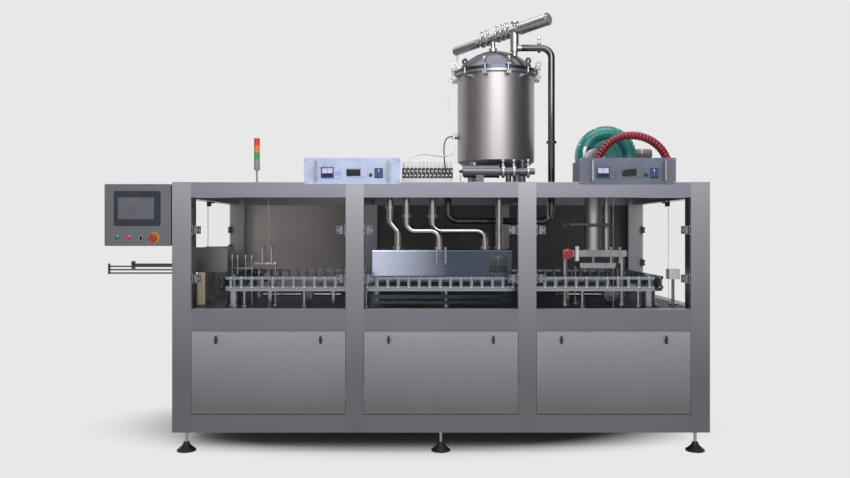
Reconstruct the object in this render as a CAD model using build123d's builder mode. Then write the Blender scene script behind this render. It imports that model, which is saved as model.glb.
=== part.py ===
from build123d import *
import os
from math import cos, hypot, pi, radians, sin, tan

# Aseptic carton filling machine: a welded frame of square tube on six feet, three glazed bays over
# three cupboards, a four-cornered chain of carton holders on the deck, and the product tank on the roof.
# Millimetres. +X runs to the operator's right, +Y away from the operator, +Z up from the floor.
# Positions named *_X are measured from the body's left face, and those named *_Y from its front face.

# Body
BODY_LENGTH = 2690.0
BODY_DEPTH = 1340.0
BODY_TOP = 1355.0
FLOOR_CLEARANCE = 102.0
CORNER_POST = 95.0
MID_POST = 90.0
MEMBER_DEPTH = 60.0
ROOF_SHEET = 4.0
TOP_RAIL = 73.0
MID_RAIL = 107.0
BOTTOM_RAIL = 90.0
DECK_LEVEL = 717.0
DECK_SHEET = 12.0
BAYS = 3
INFEED_REACH = 430.0
FRONT_PROUD = 40.0
RUNNING_FIT = 0.05
CLEAR = 0.3

LEFT = (INFEED_REACH - BODY_LENGTH) / 2
RIGHT = LEFT + BODY_LENGTH
FRONT = (FRONT_PROUD - BODY_DEPTH) / 2
BACK = FRONT + BODY_DEPTH
ROOF_UNDER = BODY_TOP - ROOF_SHEET
WINDOW_TOP = ROOF_UNDER - TOP_RAIL
CUPBOARD_TOP = DECK_LEVEL - MID_RAIL
CUPBOARD_FOOT = FLOOR_CLEARANCE + BOTTOM_RAIL
BAY = (BODY_LENGTH - 2 * CORNER_POST - (BAYS - 1) * MID_POST) / BAYS
BAY_STARTS = [LEFT + CORNER_POST + index * (BAY + MID_POST) for index in range(BAYS)]
MIDDLE_BAY_X = BAY_STARTS[1] - LEFT
RIGHT_BAY_X = BAY_STARTS[2] - LEFT

# Cladding
SKIN = 2.0
SKIN_LAP = 20.0
INFILL_SHEET = 3.0
INFILL_TOP = 958.0
SLOT_Y = (270.0, 540.0)
SLOT_Z = (872.0, 944.0)

# Clear doors and their hinges; u runs across the opening from its hinge edge, v inward from its face
PANE = 6.0
PANE_SETBACK = 4.0
DOOR_GAP = 2.0
HINGE_U = 6.0
HINGE_V = PANE_SETBACK + PANE / 2
BARREL_RADIUS = 5.0
PIN_RADIUS = 2.5
KNUCKLE = 25.0
KNUCKLE_GAP = 0.5
FRAME_KNUCKLE = 12.0
HINGE_NOTCH = (18.0, 54.0)
CLAMP_REACH = 46.0
CLAMP_HEIGHT = 40.0
CLAMP_SHEET = 3.0
CLAMP_START = 14.5
FRONT_HINGES = (1115.0, 872.0)
END_HINGES = (1115.0, 904.0)
SHORT_HINGES = (1115.0, 1000.0)
HANDLE_BAR = 10.0
HANDLE_LENGTH = 80.0
HANDLE_LEVEL = 990.0
HANDLE_OFFSET = 22.0
STANDOFF = 8.0

# Cupboard panels and quarter-turn latches
PANEL_GAP = 2.0
PANEL_FOOT_GAP = 3.0
PANEL_FLANGE = 20.0
PANEL_HINGE_RISE = 10.0
PANEL_HINGE_V = 6.0
PANEL_PIN_RADIUS = 3.0
PANEL_PIN_LENGTH = 9.0
LATCH_INSET = 125.0
LATCH_DROP = 45.0
LATCH_ROSETTE = 15.0
LATCH_ROSETTE_SHEET = 4.0
LATCH_SPINDLE = 8.0
LATCH_WING = (11.0, 40.0, 12.0)
TONGUE = (16.0, 42.0, 3.0)
KEEPER = (30.0, 20.0, 3.0)
KEEPER_SETBACK = 22.0
TONGUE_CLEAR = 1.0

# Feet
FOOT_XS = (60.0, BODY_LENGTH / 2, BODY_LENGTH - 60.0)
FOOT_INSET = 45.0
FOOT_PAD_RADIUS = 47.5
FOOT_PAD_HEIGHT = 45.0
STUD_RADIUS = 8.0
STUD_NUT = (13.0, 12.0)

# Operator's control box beside the front left post
BOX_X = (-338.0, -5.0)
BOX_Z = (1035.0, 1345.0)
BOX_DEPTH = 90.0
BOX_EDGE = 6.0
BEZEL_X = (-290.0, -58.0)
BEZEL_Z = (1135.0, 1310.0)
BEZEL_PROUD = 5.0
SCREEN_X = (-270.0, -88.0)
SCREEN_Z = (1169.0, 1278.0)
SCREEN_RECESS = 2.5
CONTROL_Z = 1075.0
START_X = -278.0
STOP_X = -219.0
SELECTOR_X = -159.0
EMERGENCY_X = -92.0
CONTROL_BORE = 11.3
CONTROL_WELL = 24.0
BUTTON_RADIUS = 11.0
BUTTON_STROKE = 4.0
COLLAR_RADIUS = 15.0
COLLAR_SHEET = 4.0
MUSHROOM_RADIUS = 19.0
EMERGENCY_STROKE = 6.0
EMERGENCY_PLATE = 30.0

# Infeed rails and blank magazine
RAIL_ROD = 4.0
RAIL_LEVELS = (920.0, 902.0, 884.0)
FRONT_RAIL_Y = 300.0
REAR_RAIL_Y = 490.0
REAR_RAIL_ROD = 8.0
RAIL_PLATE = (6.0, 20.0)
MAGAZINE_X = (36.0, 210.0)
MAGAZINE_Z = (889.0, 1023.0)
MAGAZINE_SHEET = 6.0
MAGAZINE_LEG_X = (50.0, 90.0)

# Chain of carton holders
CHAIN_X = (202.0, BODY_LENGTH - 192.0)
CHAIN_Y = (150.0, 935.0)
CHAIN_Z = (809.0, 874.0)
CHAIN_CORNER = 60.0
HOLDER_PITCH = 54.0
HOLDER_POST = (15.0, 26.0)
LINK_SHEET = 4.0
LINK_HEIGHT = 15.0
WEAR_STRIP = (26.0, 10.0)
WHEEL_RADIUS = 46.0
WHEEL_LOBES = 7
SHAFT_RADIUS = 15.0
DRUM_RADIUS = 36.0
DRUM_TOP = 813.0
RAIL_POST_RADIUS = 10.0
RAIL_POST_XS = (330.0, 640.0, 960.0, 1375.0, 1760.0, 2080.0, CHAIN_X[1] - 128.0)
STOP_BLOCK_Z = (855.0, 908.0)
UNDER_BAR_X = (985.0, 1735.0)
UNDER_BAR_LEVELS = ((762.0, 782.0), (735.0, 750.0))
UNDER_BAR_Y = 118.0

# Filling hood and process pipes
HOOD_X = (995.0, 1712.0)
HOOD_Y = (110.0, 330.0)
HOOD_Z = (880.0, 1014.0)
HOOD_SHEET = 3.0
HOOD_WINDOW_X = (1596.0, 1689.0)
HOOD_WINDOW_Z = (898.0, 981.0)
HOOD_LEG = 20.0
NOZZLES = ((1124.0, 180.0), (1340.0, 180.0), (1585.0, 180.0))
NOZZLE_RADIUS = 14.0
NOZZLE_TIP = 7.0
PIPE = 34.0
PIPE_BEND = 45.0
CLAMP_RING = 26.0
CLAMP_RING_WIDTH = 14.0

# Product tank on the roof
TANK_X = 1669.5
TANK_Y = 560.0
TANK_RADIUS = 217.0
TANK_Z = (BODY_TOP + 144.0, BODY_TOP + 623.0)
TANK_BOTTOM = BODY_TOP + 67.0
TANK_WALL = 4.0
FLANGE_RADIUS = 236.0
FLANGE_SHEET = 14.0
GASKET_SHEET = 3.0
LID_TOP = 2126.0
TANK_LEGS = 4
TANK_LEG_RADIUS = 22.0
TANK_LEG_CIRCLE = 185.0
SWING_BOLTS = 12
SWING_BOLT_START = 11.0
BOLT_CIRCLE = 244.0
BOLT_RADIUS = 6.0
RING_NUT = (18.5, 9.0, 10.0)

# Valve line across the lid, turned and tilted about its centre body
LID_LINE_X = 1654.0
LID_LINE_Y = 560.0
LID_LINE_Z = 2203.0
LID_LINE_TURN = -40.0
LID_LINE_TILT = 8.0
SECOND_BODY = 147.0
SUPPLY_PIPE = 38.0
SUPPLY_LEVEL = 2128.0
SUPPLY_X = (RIGHT_BAY_X + 149.0, MIDDLE_BAY_X + 437.0)
SUPPLY_JOINT = 69.0
SUPPLY_LOW = 1165.0
SUPPLY_BRANCH = 38.0
SENSOR_Z = 1645.0

# Outlet valve in front of the tank
OUTLET_Y = 300.0
OUTLET_Z = 1429.0

# Generators on the roof's front edge: nineteen-inch cases, three units high
GENERATOR_XS = (660.0, 2037.0)
PANEL_PLATE = (482.0, 132.5, 3.3)
PANEL_DROP = 11.5
CASE = (440.0, 300.0, 117.0)
CASE_HANDLE_INSET = 60.0
METER_X = (122.0, 184.5)
METER_Z = (29.0, 82.0)
DISPLAY_X = (246.0, 316.0)
DISPLAY_Z = (36.0, 68.0)
ROCKER_X = (352.0, 395.0)
ROCKER_Z = (31.0, 81.0)
ROCKER_GAP = 1.0
ROCKER_FLARE = 19.0
ROCKER_PIN = 2.0
ROCKER_PIVOT_DEPTH = 6.0
FUSE_X = 333.0
FUSE_Z = 46.0

# Signal tower
TOWER_X = 405.0
TOWER_Y = 100.0

# Valve manifold
MANIFOLD_X = (1148.0, 1408.0)
MANIFOLD_Y = (60.0, 120.0)
MANIFOLD_BASE = 22.0
VALVES = 13
VALVE_GAP = 2.0
VALVE_HEIGHT = 53.0
FITTING = (4.0, 12.0)

# Ring blower and its hose
BLOWER_X = 2312.0
BLOWER_Y = 650.0
BLOWER_Z = 1540.0
BLOWER_RADIUS = 173.5
COVER_X = 2232.0
COVER_Z = 1520.0
HOSE = 48.0

# Routes of the free hose, tube and cable: body positions, chosen by hand
HOSE_ROUTE = [
    (2212, 440, 1430), (2212, 440, 1484), (2243, 435, 1552), (2294, 430, 1605),
    (2362, 425, 1635), (2438, 421, 1637), (2510, 418, 1612), (2570, 416, 1562),
    (2605, 415, 1493), (2618, 415, 1424), (2618, 415, 1385),
]
AIR_TUBE = 8.0
AIR_ROUTE = [
    (1178, 90, 1442), (1178, 90, 1472), (1204, 98, 1498), (1254, 120, 1509), (1325, 168, 1500),
    (1388, 238, 1506), (1424, 320, 1536), (1430, 395, 1600), (1414, 450, 1695), (1399, 505, 1795),
    (1392, 566, 1895), (1397, 628, 1980), (1424, 688, 2040), (1457, 725.5, 2088), (1457, 725.5, 2126),
]
CABLE = 7.0
CABLE_ROUTE = [
    (1422.5, 560, 1645), (1397, 560, 1645), (1378, 545, 1612), (1373, 512, 1566), (1374, 466, 1518),
    (1377, 415, 1470), (1379, 370, 1425), (1380, 344, 1407), (1380, 344, 1380),
]

# Sealing station in the right-hand bay
SEALER_X = RIGHT_BAY_X + 335.0
SEALER_Y = 250.0
SEALER_TUBE = 44.0
RETURN_TUBE_X = SEALER_X + 71.0
SETTING_ROD_X = SEALER_X - 80.0
CROSSHEAD_X = (SEALER_X - 172.0, SEALER_X + 173.0)
CROSSHEAD_Y = (205.0, 295.0)
CROSSHEAD_Z = (975.0, 1009.0)
COLUMN_RADIUS = 14.0
JAW_X = (SEALER_X - 95.0, SEALER_X + 95.0)
JAW_Y = (122.0, 275.0)
JAW_Z = (925.0, 945.0)
JAW_ROD = 10.0
JAW_ROD_TOP = 1060.0

# Gear motor under the deck, beneath the drive wheel
GEARBOX = (150.0, 150.0, 120.0)
MOTOR_RADIUS = 50.0
MOTOR_LENGTH = 230.0


def save(name, *pieces):
    """Write one node; pieces that are separate stay separate solids."""
    group = Compound([solid for piece in pieces for solid in piece.solids()])
    group.label = name
    export_step(group, f"parts/{name}.step")
    return group


def bar(x, y, z):
    """A square-cornered member between three pairs of faces."""
    with BuildPart() as member:
        with BuildSketch(Plane.XY.offset(z[0])):
            with Locations(((x[0] + x[1]) / 2, (y[0] + y[1]) / 2)):
                Rectangle(x[1] - x[0], y[1] - y[0])
        extrude(amount=z[1] - z[0])
    return member.part


def turned(base, steps):
    """A round piece about the base plane's normal; each step is (from, to, radius)."""
    with BuildPart() as piece:
        for low, high, radius in steps:
            with BuildSketch(base.offset(low)):
                Circle(radius)
            extrude(amount=high - low)
    return piece.part


def pipe_run(points, diameter, bend):
    """A rigid pipe along straight runs, with one bend radius."""
    with BuildPart() as run:
        with BuildLine():
            if len(points) > 2:
                FilletPolyline(*points, radius=bend)
            else:
                Line(*points)
        with BuildSketch(Plane(origin=points[0], z_dir=Vector(points[1]) - Vector(points[0]))):
            Circle(diameter / 2)
        sweep()
    return run.part


def corner_radii(points):
    """The largest even arcs that a free cord's corners have room for."""
    radii = []
    for before, corner, after in zip(points, points[1:], points[2:]):
        first = Vector(corner) - Vector(before)
        second = Vector(after) - Vector(corner)
        turn = radians(first.get_angle(second))
        radii.append(0.45 * min(first.length, second.length) / tan(turn / 2))
    return radii


def free_cord(name, points, diameter):
    """A soft tube along its route, in a node of its own."""
    radii = corner_radii(points)
    with BuildPart() as cord:
        with BuildLine() as route:
            FilletPolyline(*points, radius=radii)
        with BuildSketch(Plane(origin=points[0], z_dir=Vector(points[1]) - Vector(points[0]))):
            Circle(diameter / 2)
        sweep()
    length = sum(edge.length for edge in route.edges())
    expected = pi * diameter**2 / 4 * length
    print(f"{name}: length {length:.0f}, volume ratio {cord.part.volume / expected:.4f}, radii",
          [round(radius) for radius in radii])
    save(name, cord.part)


def across(x):
    """A place measured from the body's left face."""
    return LEFT + x


def inward(y):
    """A place measured from the body's front face."""
    return FRONT + y


def span_x(pair):
    return (LEFT + pair[0], LEFT + pair[1])


def span_y(pair):
    return (FRONT + pair[0], FRONT + pair[1])


os.makedirs("parts", exist_ok=True)


# Frame: four corner posts, four mid posts, three levels of rails and the cross members between them
def make_frame():
    members = []
    height = (FLOOR_CLEARANCE, ROOF_UNDER)
    levels = (
        (FLOOR_CLEARANCE, CUPBOARD_FOOT),
        (CUPBOARD_TOP, DECK_LEVEL),
        (WINDOW_TOP, ROOF_UNDER),
    )
    corner_ys = ((FRONT, FRONT + CORNER_POST), (BACK - CORNER_POST, BACK))
    rail_ys = ((FRONT, FRONT + MEMBER_DEPTH), (BACK - MEMBER_DEPTH, BACK))
    for x in ((LEFT, LEFT + CORNER_POST), (RIGHT - CORNER_POST, RIGHT)):
        for y in corner_ys:
            members.append(bar(x, y, height))
    for start in BAY_STARTS[1:]:
        for y in rail_ys:
            members.append(bar((start - MID_POST, start), y, height))
    for start in BAY_STARTS:
        for y in rail_ys:
            for z in levels:
                members.append(bar((start, start + BAY), y, z))
    for x in ((LEFT, LEFT + MEMBER_DEPTH), (RIGHT - MEMBER_DEPTH, RIGHT)):
        for z in levels:
            members.append(bar(x, (FRONT + CORNER_POST, BACK - CORNER_POST), z))
    # Cross members carry the deck and the roof from front to back at the mid posts
    for start in BAY_STARTS[1:]:
        middle = start - MID_POST / 2
        for z in ((CUPBOARD_TOP, DECK_LEVEL - DECK_SHEET), (WINDOW_TOP, ROOF_UNDER)):
            members.append(bar((middle - MEMBER_DEPTH / 2, middle + MEMBER_DEPTH / 2),
                               (FRONT + MEMBER_DEPTH, BACK - MEMBER_DEPTH), z))
    # Keeper tabs for the cupboard latches hang behind the mid rail
    for start in BAY_STARTS:
        for x in (start + LATCH_INSET, start + BAY - LATCH_INSET):
            members.append(bar((x - KEEPER[0] / 2, x + KEEPER[0] / 2),
                               (FRONT + KEEPER_SETBACK, FRONT + KEEPER_SETBACK + KEEPER[2]),
                               (CUPBOARD_TOP - KEEPER[1], CUPBOARD_TOP)))
    save("main_frame", *members)


SUPPLY_Y = LID_LINE_Y - SECOND_BODY * cos(radians(LID_LINE_TILT)) * sin(radians(-LID_LINE_TURN))
SECOND_BODY_X = LID_LINE_X + SECOND_BODY * cos(radians(LID_LINE_TILT)) * cos(radians(LID_LINE_TURN))
SECOND_BODY_Z = LID_LINE_Z + SECOND_BODY * sin(radians(LID_LINE_TILT))
DRIVE_WHEEL = (CHAIN_X[1] - CHAIN_CORNER, CHAIN_Y[1] - CHAIN_CORNER)
WHEEL_PLACES = {
    "drive_wheel": DRIVE_WHEEL,
    "front_right_wheel": (CHAIN_X[1] - CHAIN_CORNER, CHAIN_Y[0] + CHAIN_CORNER),
    "front_left_wheel": (CHAIN_X[0] + CHAIN_CORNER, CHAIN_Y[0] + CHAIN_CORNER),
    "rear_left_wheel": (CHAIN_X[0] + CHAIN_CORNER, CHAIN_Y[1] - CHAIN_CORNER),
}


# Roof sheet with the hole that the supply pipe passes through
def make_roof():
    with BuildPart() as roof:
        with BuildSketch(Plane.XY.offset(ROOF_UNDER)):
            with Locations(((LEFT + RIGHT) / 2, (FRONT + BACK) / 2)):
                Rectangle(BODY_LENGTH, BODY_DEPTH)
            with Locations((across(SUPPLY_X[0]), inward(SUPPLY_Y))):
                Circle(SUPPLY_PIPE / 2 + CLEAR, mode=Mode.SUBTRACT)
        extrude(amount=ROOF_SHEET)
        chamfer(roof.faces().sort_by(Axis.Z)[-1].outer_wire().edges(), 1.5)
    save("roof_sheet", roof.part)


# Deck between the mid rails, notched round the corner posts, with the drive shaft's hole
def make_deck():
    notch = CORNER_POST - MEMBER_DEPTH
    with BuildPart() as deck:
        with BuildSketch(Plane.XY.offset(DECK_LEVEL - DECK_SHEET)):
            with Locations(((LEFT + RIGHT) / 2, (FRONT + BACK) / 2)):
                Rectangle(BODY_LENGTH - 2 * MEMBER_DEPTH, BODY_DEPTH - 2 * MEMBER_DEPTH)
                with GridLocations(BODY_LENGTH - 2 * MEMBER_DEPTH - notch,
                                   BODY_DEPTH - 2 * MEMBER_DEPTH - notch, 2, 2):
                    Rectangle(notch, notch, mode=Mode.SUBTRACT)
            with Locations((across(DRIVE_WHEEL[0]), inward(DRIVE_WHEEL[1]))):
                Circle(SHAFT_RADIUS + 2, mode=Mode.SUBTRACT)
        extrude(amount=DECK_SHEET)
    save("work_deck", deck.part)


# Fixed skins: rear panels over every bay, end skins over the cupboards, and the slotted infill
def make_skins():
    skins = []
    for start in BAY_STARTS:
        for low, high in ((CUPBOARD_FOOT, CUPBOARD_TOP), (DECK_LEVEL, WINDOW_TOP)):
            with BuildPart() as panel:
                with BuildSketch(Plane.XZ.offset(-BACK)):
                    with Locations((start + BAY / 2, (low + high) / 2)):
                        RectangleRounded(BAY + 2 * SKIN_LAP, high - low + 2 * SKIN_LAP, 6)
                extrude(amount=-SKIN)
            skins.append(panel.part)
    for x, outward in ((LEFT, -1), (RIGHT, 1)):
        with BuildPart() as skin:
            with BuildSketch(Plane.YZ.offset(x)):
                with Locations(((FRONT + BACK) / 2, (CUPBOARD_FOOT + CUPBOARD_TOP) / 2)):
                    RectangleRounded(BODY_DEPTH - 2 * CORNER_POST + 2 * SKIN_LAP,
                                     CUPBOARD_TOP - CUPBOARD_FOOT + 2 * SKIN_LAP, 6)
            extrude(amount=outward * SKIN)
        skins.append(skin.part)
    with BuildPart() as infill:
        with BuildSketch(Plane.YZ.offset(LEFT)):
            with Locations(((FRONT + BACK) / 2, (DECK_LEVEL + INFILL_TOP) / 2)):
                Rectangle(BODY_DEPTH - 2 * CORNER_POST, INFILL_TOP - DECK_LEVEL)
            with Locations((inward(sum(SLOT_Y) / 2), sum(SLOT_Z) / 2)):
                RectangleRounded(SLOT_Y[1] - SLOT_Y[0], SLOT_Z[1] - SLOT_Z[0], 8, mode=Mode.SUBTRACT)
        extrude(amount=INFILL_SHEET)
    save("fixed_skins", *skins)
    save("infeed_infill", infill.part)


# A hinge's door half: barrel, web through the pane's notch, and two clamp plates with caps
def door_hinge(base, hand, level):
    with BuildPart() as half:
        with BuildSketch(base.offset(level - KNUCKLE / 2)):
            with Locations((HINGE_U, hand * HINGE_V)):
                Circle(BARREL_RADIUS)
            with Locations(((HINGE_U + HINGE_NOTCH[0]) / 2, hand * HINGE_V)):
                Rectangle(HINGE_NOTCH[0] - HINGE_U, PANE)
        extrude(amount=KNUCKLE)
        for v in (HINGE_V - (PANE + CLAMP_SHEET) / 2, HINGE_V + (PANE + CLAMP_SHEET) / 2):
            with BuildSketch(base.offset(level - CLAMP_HEIGHT / 2)):
                with Locations(((CLAMP_START + CLAMP_REACH) / 2, hand * v)):
                    Rectangle(CLAMP_REACH - CLAMP_START, CLAMP_SHEET)
            extrude(amount=CLAMP_HEIGHT)
        with BuildSketch(base.offset(level - KNUCKLE / 2)):
            with Locations((HINGE_U, hand * HINGE_V)):
                Circle(PIN_RADIUS + RUNNING_FIT)
        extrude(amount=KNUCKLE, mode=Mode.SUBTRACT)
    return half.part


# A hinge's frame half: two knuckles on blocks against the post, with the pin through them
def frame_hinge(base, hand, level):
    reach = KNUCKLE / 2 + KNUCKLE_GAP
    with BuildPart() as half:
        for low in (level - reach - FRAME_KNUCKLE, level + reach):
            with BuildSketch(base.offset(low)):
                with Locations((HINGE_U, hand * HINGE_V)):
                    Circle(BARREL_RADIUS)
                with Locations((HINGE_U / 2, hand * HINGE_V)):
                    Rectangle(HINGE_U, 2 * BARREL_RADIUS)
            extrude(amount=FRAME_KNUCKLE)
        with BuildSketch(base.offset(level - reach)):
            with Locations((HINGE_U, hand * HINGE_V)):
                Circle(PIN_RADIUS)
        extrude(amount=2 * reach)
    return half.part


# A clear door with its hinge halves, and a bar handle near the free edge of a front door
def make_door(name, base, hand, width, low, high, hinges, handle):
    with BuildPart() as pane:
        with BuildSketch(base.offset(low + DOOR_GAP)):
            with Locations(((DOOR_GAP + width - DOOR_GAP / 2) / 2, hand * HINGE_V)):
                Rectangle(width - DOOR_GAP * 1.5, PANE)
        extrude(amount=high - low - 2 * DOOR_GAP)
        for level in hinges:
            with BuildSketch(base.offset(level - HINGE_NOTCH[1] / 2)):
                with Locations((HINGE_NOTCH[0] / 2, hand * HINGE_V)):
                    Rectangle(HINGE_NOTCH[0], PANE)
            extrude(amount=HINGE_NOTCH[1], mode=Mode.SUBTRACT)
    pieces = [pane.part]
    for level in hinges:
        pieces.append(door_hinge(base, hand, level))
        frame_halves.append(frame_hinge(base, hand, level))
    if handle:
        u = width - HANDLE_OFFSET
        inner = HANDLE_BAR - FRONT_PROUD
        with BuildPart() as grip:
            with BuildSketch(base.offset(HANDLE_LEVEL - HANDLE_LENGTH / 2)):
                with Locations((u, hand * (inner - HANDLE_BAR / 2))):
                    RectangleRounded(HANDLE_BAR, HANDLE_BAR, 2.5)
            extrude(amount=HANDLE_LENGTH)
        pieces.append(grip.part)
        for side in (-1, 1):
            foot = HANDLE_LEVEL + side * (HANDLE_LENGTH - STANDOFF) / 2 - STANDOFF / 2
            with BuildPart() as post:
                with BuildSketch(base.offset(foot)):
                    with Locations((u, hand * (inner + PANE_SETBACK) / 2)):
                        Rectangle(STANDOFF, PANE_SETBACK - inner)
                extrude(amount=STANDOFF)
            pieces.append(post.part)
    save(name, *pieces)


frame_halves = []


def door_plane(x, y, direction):
    return Plane(origin=(x, y, 0), x_dir=direction, z_dir=(0, 0, 1))


def make_doors():
    half = BAY / 2
    tall = (DECK_LEVEL, WINDOW_TOP)
    for index, start in enumerate(BAY_STARTS):
        make_door(f"front_door_{2 * index + 1}", door_plane(start, FRONT, (1, 0, 0)), 1,
                  half, *tall, FRONT_HINGES, True)
        make_door(f"front_door_{2 * index + 2}", door_plane(start + BAY, FRONT, (-1, 0, 0)), -1,
                  half, *tall, FRONT_HINGES, True)
    end = BODY_DEPTH / 2 - CORNER_POST
    near = FRONT + CORNER_POST
    far = BACK - CORNER_POST
    make_door("right_end_front_door", door_plane(RIGHT, near, (0, 1, 0)), 1, end, *tall, END_HINGES, False)
    make_door("right_end_rear_door", door_plane(RIGHT, far, (0, -1, 0)), -1, end, *tall, END_HINGES, False)
    short = (INFILL_TOP, WINDOW_TOP)
    make_door("left_end_front_door", door_plane(LEFT, near, (0, 1, 0)), -1, end, *short, SHORT_HINGES, False)
    make_door("left_end_rear_door", door_plane(LEFT, far, (0, -1, 0)), 1, end, *short, SHORT_HINGES, False)


# Cupboard panels: folded pans hinged on two pins along their bottom edge
def make_cupboards():
    pins = []
    sill = CUPBOARD_FOOT + PANEL_HINGE_RISE
    latch_z = CUPBOARD_TOP - LATCH_DROP
    for name, start in zip(("left", "middle", "right"), BAY_STARTS):
        low = CUPBOARD_FOOT + PANEL_FOOT_GAP
        high = CUPBOARD_TOP - PANEL_GAP
        latch_xs = (start + LATCH_INSET, start + BAY - LATCH_INSET)
        with BuildPart() as pan:
            with BuildSketch(Plane.XZ.offset(-FRONT)):
                with Locations((start + BAY / 2, (low + high) / 2)):
                    Rectangle(BAY - 2 * PANEL_GAP, high - low)
            extrude(amount=-PANEL_FLANGE)
            back = pan.faces().sort_by(Axis.Y)[-1]
            offset(amount=-SKIN, openings=back)
            with BuildSketch(Plane.XZ.offset(-FRONT)):
                with Locations(*[(x, latch_z) for x in latch_xs]):
                    Circle(LATCH_SPINDLE + CLEAR)
            extrude(amount=-SKIN, mode=Mode.SUBTRACT)
            with BuildSketch(Plane.YZ.offset(start)):
                with Locations((inward(PANEL_HINGE_V), sill)):
                    Circle(PANEL_PIN_RADIUS + RUNNING_FIT)
            extrude(amount=BAY, mode=Mode.SUBTRACT)
        pieces = [pan.part]
        for x in latch_xs:
            with BuildPart() as rosette:
                with BuildSketch(Plane.XZ.offset(-FRONT)):
                    with Locations((x, latch_z)):
                        Circle(LATCH_ROSETTE)
                        Circle(LATCH_SPINDLE + CLEAR, mode=Mode.SUBTRACT)
                extrude(amount=LATCH_ROSETTE_SHEET)
                chamfer(rosette.edges().group_by(Axis.Y)[0].sort_by(SortBy.RADIUS)[-1], 1.5)
            pieces.append(rosette.part)
        save(f"{name}_cupboard_panel", *pieces)
        for side, edge in ((1, start), (-1, start + BAY)):
            pins.append(turned(Plane(origin=(edge, inward(PANEL_HINGE_V), sill), z_dir=(side, 0, 0)),
                               [(0, PANEL_PIN_LENGTH, PANEL_PIN_RADIUS)]))
        for number, x in enumerate(latch_xs):
            side = ("left", "right")[number]
            make_latch(f"{name}_cupboard_{side}_latch", x, latch_z)
    return pins


# A quarter-turn latch: wing outside, spindle through the panel, tongue behind it
def make_latch(name, x, z):
    outside = LATCH_ROSETTE_SHEET + CLEAR
    tongue_v = KEEPER_SETBACK + KEEPER[2] + TONGUE_CLEAR
    base = Plane(origin=(x, FRONT, z), x_dir=(1, 0, 0), z_dir=(0, -1, 0))
    with BuildPart() as wing:
        with BuildSketch(base.offset(outside)):
            SlotOverall(LATCH_WING[1], LATCH_WING[0], rotation=90)
        extrude(amount=LATCH_WING[2])
        chamfer(wing.edges().group_by(Axis.Y)[0], 2)
    spindle = turned(base, [(-tongue_v, outside, LATCH_SPINDLE)])
    with BuildPart() as tongue:
        with BuildSketch(base.offset(-tongue_v - TONGUE[2])):
            with Locations((TONGUE[1] / 2 - LATCH_SPINDLE, 0)):
                SlotOverall(TONGUE[1], TONGUE[0])
        extrude(amount=TONGUE[2])
    save(name, wing.part, spindle, tongue.part)


# Catches that hold the end doors at the middle of their top rail
def end_catches():
    catches = []
    middle = (FRONT + BACK) / 2
    for x, side in ((LEFT, 1), (RIGHT, -1)):
        inner = x + side * (PANE_SETBACK + PANE + CLEAR)
        with BuildPart() as catch:
            with BuildSketch(Plane.XZ.offset(-(middle - 40))):
                with BuildLine():
                    Polyline((inner, WINDOW_TOP), (inner, WINDOW_TOP - 26), (inner + side * 6,
                                                                             WINDOW_TOP - 26),
                             (inner + side * 6, WINDOW_TOP - 8), (inner + side * 24, WINDOW_TOP - 8),
                             (inner + side * 24, WINDOW_TOP), close=True)
                make_face()
            extrude(amount=-80)
        catches.append(catch.part)
    return catches


# Levelling feet: domed pads with studs and lock nuts under the frame
def make_feet():
    feet = []
    for x in FOOT_XS:
        for y in (FRONT + FOOT_INSET, BACK - FOOT_INSET):
            with BuildPart() as pad:
                with BuildSketch(Plane(origin=(across(x), y, 0), x_dir=(1, 0, 0), z_dir=(0, -1, 0))):
                    with BuildLine():
                        Line((0, 0), (FOOT_PAD_RADIUS, 0))
                        Line((FOOT_PAD_RADIUS, 0), (FOOT_PAD_RADIUS, 8))
                        Spline((FOOT_PAD_RADIUS, 8), (30, 22), (16, FOOT_PAD_HEIGHT - 6),
                               tangents=((-1, 0.4), (-0.3, 1)))
                        Line((16, FOOT_PAD_HEIGHT - 6), (16, FOOT_PAD_HEIGHT))
                        Line((16, FOOT_PAD_HEIGHT), (0, FOOT_PAD_HEIGHT))
                        Line((0, FOOT_PAD_HEIGHT), (0, 0))
                    make_face()
                revolve(axis=Axis((across(x), y, 0), (0, 0, 1)))
            feet.append(pad.part)
            with BuildPart() as stud:
                with BuildSketch(Plane(origin=(across(x), y, FOOT_PAD_HEIGHT))):
                    Circle(STUD_RADIUS)
                extrude(amount=FLOOR_CLEARANCE - FOOT_PAD_HEIGHT)
                with BuildSketch(Plane(origin=(across(x), y, FLOOR_CLEARANCE - STUD_NUT[1]))):
                    RegularPolygon(STUD_NUT[0], 6)
                extrude(amount=STUD_NUT[1])
            feet.append(stud.part)
    save("levelling_feet", *feet)


# Control box on two brackets, with wells for the four controls
def make_control_box():
    x = span_x(BOX_X)
    controls = (START_X, STOP_X, SELECTOR_X, EMERGENCY_X)
    with BuildPart() as box:
        with BuildSketch(Plane.XZ.offset(-FRONT)):
            with Locations((sum(x) / 2, sum(BOX_Z) / 2)):
                Rectangle(x[1] - x[0], BOX_Z[1] - BOX_Z[0])
        extrude(amount=-BOX_DEPTH)
        fillet(box.edges().filter_by(Axis.Y), BOX_EDGE)
        chamfer(box.faces().sort_by(Axis.Y)[0].edges(), 1.5)
        with BuildSketch(Plane.XZ.offset(-FRONT)):
            with Locations(*[(across(place), CONTROL_Z) for place in controls]):
                Circle(CONTROL_BORE)
        extrude(amount=-CONTROL_WELL, mode=Mode.SUBTRACT)
    pieces = [box.part]
    for z in (BOX_Z[0] + 60, BOX_Z[1] - 60):
        pieces.append(bar((x[1], LEFT), (FRONT + 25, FRONT + 85), (z - 30, z + 30)))
    save("control_box", *pieces)


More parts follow.
